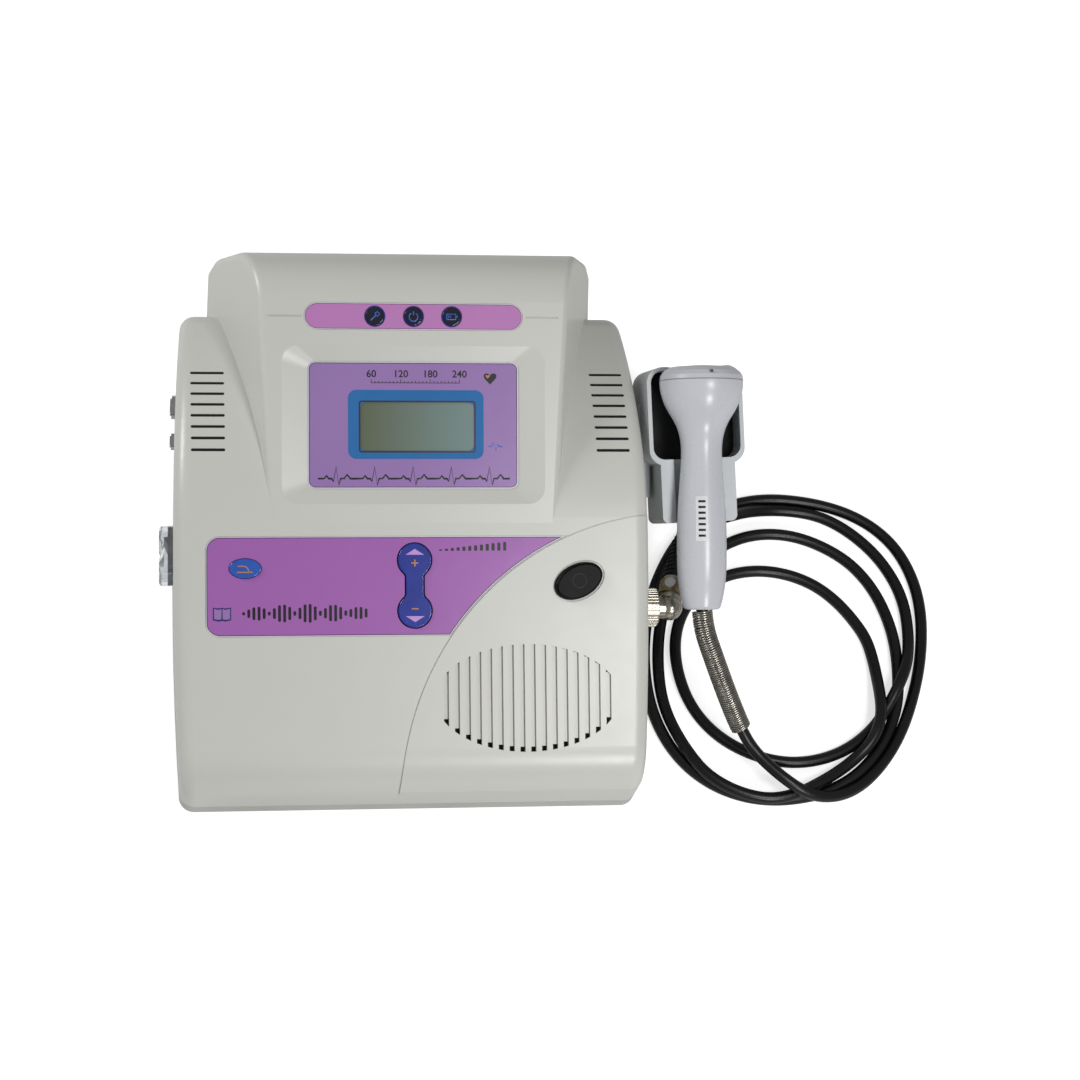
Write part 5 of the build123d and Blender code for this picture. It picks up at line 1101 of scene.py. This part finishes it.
@dataclass
class Indicators:
    """The pink strip with three lamps and their signs."""

    length: float = 106.0
    width: float = 12.8
    middle: float = 72.9
    top: float = 2.8
    lamps: Triple = (-19.0, -0.2, 18.4)
    lamp_radius: float = 4.6
    rim_gap: float = 0.55
    rim_width: float = 0.6
    rim_height: float = 0.07
    lens_top: float = 2.9
    sign_line: float = 0.55
    corner_room: float = 0.02  # that keeps the strip's round ends from meeting in a point

    def build(self) -> None:
        """Finishes the strip's nodes and prints it."""
        dress(STRIP_FILM, "indicator_overlay")
        dress(LAMP_LENS, "indicator_lenses")
        for name, inset, width, finish in (
            ("strip_edge_white", 0.0, 0.3, WHITE_INK),
            ("strip_edge_dark", 0.3, 0.25, DARK_INK_AND_SHADE),
        ):
            tall = self.width - 2 * inset
            bm = flat_block(self.length - 2 * inset, tall, tall / 2 - self.corner_room, 14)
            hollow(bm, width)
            thicken(bm)
            settle(bm, name, FACE.at(0, self.middle, self.top), finish)
        for side, x in zip(("left", "middle", "right"), self.lamps):
            bm = flat_disc(self.lamp_radius + self.rim_gap)
            hollow(bm, self.rim_width)
            thicken(bm, self.rim_height)
            settle(bm, f"lamp_rim_{side}", FACE.at(x, self.middle, self.top), RIM_INK)
        self.signs()

    def signs(self) -> None:
        """Draws a probe, a power and a battery sign on the lamps."""
        probe = [[(-2.0, -2.0), (0.4, 0.4)], [(0.0, 1.3), (1.5, -0.2), (2.3, 1.3), (1.3, 2.3), (0.0, 1.3)]]
        power = [arc(0, -0.2, 2.1, 125, 415), [(0, 0.6), (0, 2.5)]]
        outline = [(-2.4, -1.3), (2.0, -1.3), (2.0, 1.3), (-2.4, 1.3), (-2.4, -1.3)]
        battery = [
            outline, [(2.6, -0.6), (2.6, 0.6)], [(-1.5, -0.5), (-1.5, 0.5)], [(-0.6, -0.5), (-0.6, 0.5)]
        ]
        for name, x, lines in zip(("probe", "power", "battery"), self.lamps, (probe, power, battery)):
            place = FACE.at(x, self.middle, self.lens_top)
            settle(stroke(lines, self.sign_line), f"{name}_sign", place, BLUE_INK)


@dataclass
class Controls:
    """The purple label, its printed edge and signs, and the three keys."""

    filter_at: Pair = (-81.8, -48.6)
    volume_at: Pair = (-0.1, -57.1)
    volume_span: float = 24.5
    start_at: Pair = (80.0, -55.3)
    start_turn: float = 26.0
    key_top: float = 0.9
    start_top: float = 3.5
    hole_reach: float = 11.0
    skin: float = 0.02  # below which a face isn't the label's top
    key_line: float = 0.6
    arrow_size: Pair = (5.3, 1.9)
    arrow_rise: float = 3.5  # from the end of the key's middle
    ring_radius: float = 3.4
    wedge_at: Pair = (12.6, -40.4)
    wedge_bars: int = 12
    wedge_pitch: float = 2.85
    wedge_first: float = 0.7
    wedge_growth: float = 0.32
    wave_at: Pair = (-82.6, -70.2)
    wave_bars: int = 25
    wave_pitch: float = 2.45
    book_at: Pair = (-92.9, -70.4)
    page_rise: float = 0.1

    def build(self) -> None:
        """Finishes the label and keys and prints them."""
        dress(CONTROL_FILM, "control_overlay")
        dress(FILTER_BLUE, "filter_key")
        dress(KEY_BLUE, "volume_key")
        dress(START_BLACK, "start_button")
        self.edge("control_edge_white", 0.0, 0.3, WHITE_INK)
        self.edge("control_edge_dark", 0.3, 0.35, DARK_INK_AND_SHADE)
        self.key_signs()
        self.label_signs()

    def edge(self, name: str, inset: float, width: float, finish: Finish) -> None:
        """Prints a line along the label's outline, taken from the label itself.

        Args:
            name: piece name.
            inset: distance from the outline.
            width: line width.
            finish: its ink.
        """
        bm = bmesh.new()
        bm.from_mesh(frame["nodes"]["control_overlay"].data)
        bmesh.ops.transform(bm, matrix=MAIN.at(0, 0).inverted(), verts=bm.verts)
        bmesh.ops.remove_doubles(bm, verts=bm.verts, dist=ROUGH_MERGE)
        low = [f for f in bm.faces if min(v.co.z for v in f.verts) < -self.skin]
        bmesh.ops.delete(bm, geom=low, context="FACES")
        for x, y in (self.filter_at, self.volume_at):
            rim = [e for e in bm.edges if e.is_boundary and all(self.near(v.co, x, y) for v in e.verts)]
            bmesh.ops.holes_fill(bm, edges=rim, sides=0)
        if inset:
            bmesh.ops.inset_region(
                bm, faces=bm.faces[:], thickness=inset, use_boundary=True, use_even_offset=True
            )
            outer = [f for f in bm.faces if any(e.is_boundary for e in f.edges)]
            bmesh.ops.delete(bm, geom=outer, context="FACES")
        band = bmesh.ops.inset_region(
            bm, faces=bm.faces[:], thickness=width, use_boundary=True, use_even_offset=True
        )["faces"]
        inside = [f for f in bm.faces if f not in set(band)]
        bmesh.ops.delete(bm, geom=inside, context="FACES")
        thicken(bm)
        settle(bm, name, MAIN.at(0, 0), finish)

    def near(self, at: Vector, x: float, y: float) -> bool:
        """Whether a point of the label lies at a key's hole.

        Args:
            at: the point.
            x: key's place across.
            y: key's place up.

        Returns:
            True at the hole.
        """
        return abs(at.x - x) < self.hole_reach and abs(at.y - y) < self.hole_reach + self.volume_span / 2

    def key_signs(self) -> None:
        """Draws the signs on the keys."""
        x, y = self.filter_at
        curve = [(-3.6, 1.1), (-0.6, 1.1), (0.8, 0.6), (1.8, -1.3)]
        base = [(-4.0, -1.8), (3.6, -1.8)]
        settle(
            stroke([curve, base], 0.5), "filter_sign", MAIN.at(x, y, self.key_top), ORANGE_INK, "filter_key"
        )
        x, y = self.volume_at
        half = self.volume_span / 2
        arrows = bmesh.new()
        for side in (1, -1):
            tip = bmesh.ops.create_circle(arrows, cap_ends=True, radius=1.0, segments=3)["verts"]
            bmesh.ops.scale(arrows, vec=(self.arrow_size[0], self.arrow_size[1] * side, 1), verts=tip)
            bmesh.ops.translate(arrows, vec=(0, side * (half + self.arrow_rise), 0), verts=tip)
        thicken(arrows)
        settle(arrows, "volume_arrows", MAIN.at(x, y, self.key_top), LILAC_INK, "volume_key")
        plus = [[(-1.7, half - 1.4), (1.7, half - 1.4)], [(0, half - 3.1), (0, half + 0.3)]]
        minus = [[(-1.7, -half + 1.0), (1.7, -half + 1.0)]]
        signs = stroke(plus + minus, self.key_line)
        settle(signs, "volume_signs", MAIN.at(x, y, self.key_top), ORANGE_INK, "volume_key")
        x, y = self.start_at
        ring = stroke([arc(0, 0, self.ring_radius, 0, 360, 36)], 0.25)
        place = MAIN.at(x, y, self.start_top, self.start_turn)
        settle(ring, "start_ring", place, BOOT_RUBBER, "start_button")

    def label_signs(self) -> None:
        """Prints a volume wedge, a sound wave and an open book on the label."""
        wedge = []
        for i in range(self.wedge_bars):
            tall = self.wedge_first + self.wedge_growth * i
            x, y = self.wedge_at
            wedge.append((flat_block(1.5, tall, 0.3, 3), x + self.wedge_pitch * i, y + tall / 2))
        wave = []
        for i in range(self.wave_bars):
            swell = 0.45 + 0.55 * math.sin(math.pi * (i + 0.5) / self.wave_bars)
            tall = 1.6 + 7.6 * abs(math.sin(0.62 * i)) * swell
            x, y = self.wave_at
            wave.append((flat_block(1.35, tall, 0.6, 4), x + self.wave_pitch * i, y))
        for name, bars in (("volume_wedge", wedge), ("sound_wave", wave)):
            settle(self.together(bars), name, MAIN.at(0, 0), BLACK_INK)
        page = [(0, -2.7), (1.6, -3.1), (4.1, -2.6), (4.1, 2.9), (1.6, 2.4), (0, 2.8), (0, -2.7)]
        other = [(-a, b) for a, b in page]
        x, y = self.book_at
        settle(stroke([page, other], 0.85), "book_sign", MAIN.at(x, y), VIOLET_INK)
        pages = flat_block(7.6, 5.0, 0.5)
        thicken(pages, 0.04)
        settle(pages, "book_pages", MAIN.at(x, y + self.page_rise), DISPLAY_FILM)

    def together(self, parts: list[tuple[BMesh, float, float]]) -> BMesh:
        """Raised prints, side by side in one mesh.

        Args:
            parts: flat meshes, which are freed, each with its place across and up.

        Returns:
            The bmesh, in millimetres.
        """
        whole = bmesh.new()
        for part, x, y in parts:
            bmesh.ops.translate(part, vec=(x, y, 0), verts=part.verts)
            mesh = bpy.data.meshes.new("part")
            part.to_mesh(mesh)
            part.free()
            whole.from_mesh(mesh)
            bpy.data.meshes.remove(mesh)
        thicken(whole)
        return whole


@dataclass
class Sides:
    """Sockets and switch on the left wall, plug and holder on the right, mains inlet at the back."""

    socket_axis: Triple = (1.0, -0.0082, 0.0)
    arm_axis: Triple = (0.258, 0.966, 0.0)
    ridges: int = 36
    ridge_radius: float = 0.42
    ridge_length: float = 6.2
    ridge_out: float = 9.45
    ribs: int = 9
    rib_pitch: float = 2.4
    rib_radius: float = 4.45  # at the boot's middle
    rib_taper: float = 0.0583
    rib_lip: float = 0.1

    def build(self) -> None:
        """Finishes their nodes."""
        dress(CHROME, "record_jack", "headphone_jack", "jack_nuts", "clamp_screw", "inlet_pins")
        dress(SWITCH_PLASTIC, "switch_frame", "power_rocker", "mains_inlet", "fuse_holder")
        dress(CLEAR_BOOT, "switch_boot")
        dress(NICKEL, "probe_socket", "plug_body", "plug_ring")
        dress(WORN_NICKEL, "plug_clamp")
        dress(BOOT_RUBBER, "plug_boot")
        dress(HOLDER_ABS, "holder_shell")
        dress(LINER_RUBBER, "holder_liner")
        self.knurl()
        self.rib_rings()

    def knurl(self) -> None:
        """Ridges along the plug's ring."""
        ring = bmesh.new()
        centre, axis = self.round_node("plug_ring", self.socket_axis)
        side = axis.orthogonal().normalized()
        for k in range(self.ridges):
            out = Matrix.Rotation(math.tau * k / self.ridges, 3, axis) @ side
            place = self.along(centre + out * self.ridge_out, axis)
            radius, depth = self.ridge_radius, self.ridge_length
            bmesh.ops.create_cone(
                ring, cap_ends=True, segments=6, radius1=radius, radius2=radius, depth=depth, matrix=place
            )
        settle(ring, "ring_knurl", Matrix.Scale(MM, 4), NICKEL, "plug_ring")

    def rib_rings(self) -> None:
        """Raised rings round the plug's rubber boot."""
        boot = bmesh.new()
        centre, axis = self.round_node("plug_boot", self.arm_axis)
        for k in range(self.ribs):
            run = self.rib_pitch * (k - (self.ribs - 1) / 2)
            radius = self.rib_radius - self.rib_taper * run
            low, high = radius + self.rib_lip, radius - self.rib_lip
            place = self.along(centre + axis * run, axis)
            bmesh.ops.create_cone(
                boot, cap_ends=True, segments=40, radius1=low, radius2=high, depth=1.0, matrix=place
            )
        settle(boot, "boot_ribs", Matrix.Scale(MM, 4), BOOT_RUBBER)

    def along(self, at: Vector, axis: Vector) -> Matrix:
        """Place with Z along an axis.

        Args:
            at: its origin.
            axis: its Z.

        Returns:
            The matrix.
        """
        return Matrix.Translation(at) @ axis.to_track_quat("Z", "Y").to_matrix().to_4x4()

    def round_node(self, name: str, along: Triple) -> tuple[Vector, Vector]:
        """Centre and axis of a turned node.

        Args:
            name: node name.
            along: direction of its axis.

        Returns:
            Centre in millimetres and unit axis.
        """
        corners = [Vector(c) for c in frame["nodes"][name].bound_box]
        return sum(corners, Vector()) / 8 / MM, Vector(along).normalized()


@dataclass
class Probe:
    """The hand-held probe."""

    axis_x: float = 143.6
    axis_out: float = -5.0
    seam_s: float = 43.0
    seam_radius: float = 20.35
    seam_bead: float = 0.28
    dot_at: Triple = (143.9, 46.6, 15.3)
    bars: int = 7
    bar_at: Pair = (141.0, -33.4)
    bar_pitch: float = 2.8
    bar_size: Pair = (3.4, 1.1)
    above: float = 40.0  # height from which the sticker is felt for
    over: float = 0.02

    def build(self) -> None:
        """Finishes its nodes."""
        dress(PROBE_ABS, "probe_handle")
        dress(CAP_ABS, "probe_cap")
        dress(SENSOR_FACE, "probe_lens")
        dress(CERAMIC, "probe_crystals")
        dress(STICKER_FILM, "probe_sticker")
        seam = bmesh.new()
        upright = Matrix.Translation((self.seam_radius, 0, 0)) @ Matrix.Rotation(math.pi / 2, 4, "X")
        bmesh.ops.create_circle(seam, cap_ends=True, radius=self.seam_bead, segments=10, matrix=upright)
        bmesh.ops.spin(
            seam, geom=seam.faces[:], cent=(0, 0, 0), axis=(0, 0, 1), angle=math.tau, steps=72, use_merge=True
        )
        bmesh.ops.remove_doubles(seam, verts=seam.verts, dist=ROUGH_MERGE)
        turned = FACE.at(self.axis_x, self.seam_s, self.axis_out) @ Matrix.Rotation(-math.pi / 2, 4, "X")
        settle(seam, "cap_seam", turned, SEAM_SHADE, "probe")
        dot = bmesh.new()
        bmesh.ops.create_cone(dot, cap_ends=True, segments=20, radius1=0.8, radius2=0.8, depth=0.5)
        settle(dot, "cap_dot", FACE.at(*self.dot_at), BLACK_INK, "probe")
        self.sticker_bars()

    def sticker_bars(self) -> None:
        """Prints plain bars across the sticker."""
        sticker = frame["nodes"]["probe_sticker"]
        bars = bmesh.new()
        x, first = self.bar_at
        for k in range(self.bars):
            bar = bmesh.ops.create_grid(bars, x_segments=4, y_segments=1, size=0.5)["verts"]
            bmesh.ops.scale(bars, vec=(*self.bar_size, 1), verts=bar)
            bmesh.ops.translate(bars, vec=(x, first + self.bar_pitch * k, 0), verts=bar)
        face = FACE.at(0, 0)
        down = (face.to_3x3() @ Vector((0, 0, -1))).normalized()
        for vert in bars.verts:
            over = face @ Vector((vert.co.x, vert.co.y, self.above))
            vert.co = face.inverted() @ sticker.ray_cast(over, down)[1] + Vector((0, 0, self.over))
        thicken(bars)
        settle(bars, "sticker_bars", face, BLACK_INK, "probe")


def main() -> None:
    """Builds the studio, the cord and every sub-assembly in order."""
    logging.basicConfig(level=logging.INFO, format="%(message)s")
    for part in (Studio(), ProbeCord(), Case(), Display(), Indicators(), Controls(), Sides(), Probe()):
        log.info("%s", type(part).__name__)
        part.build()
    bpy.context.view_layer.update()


if __name__ == "__main__":
    main()
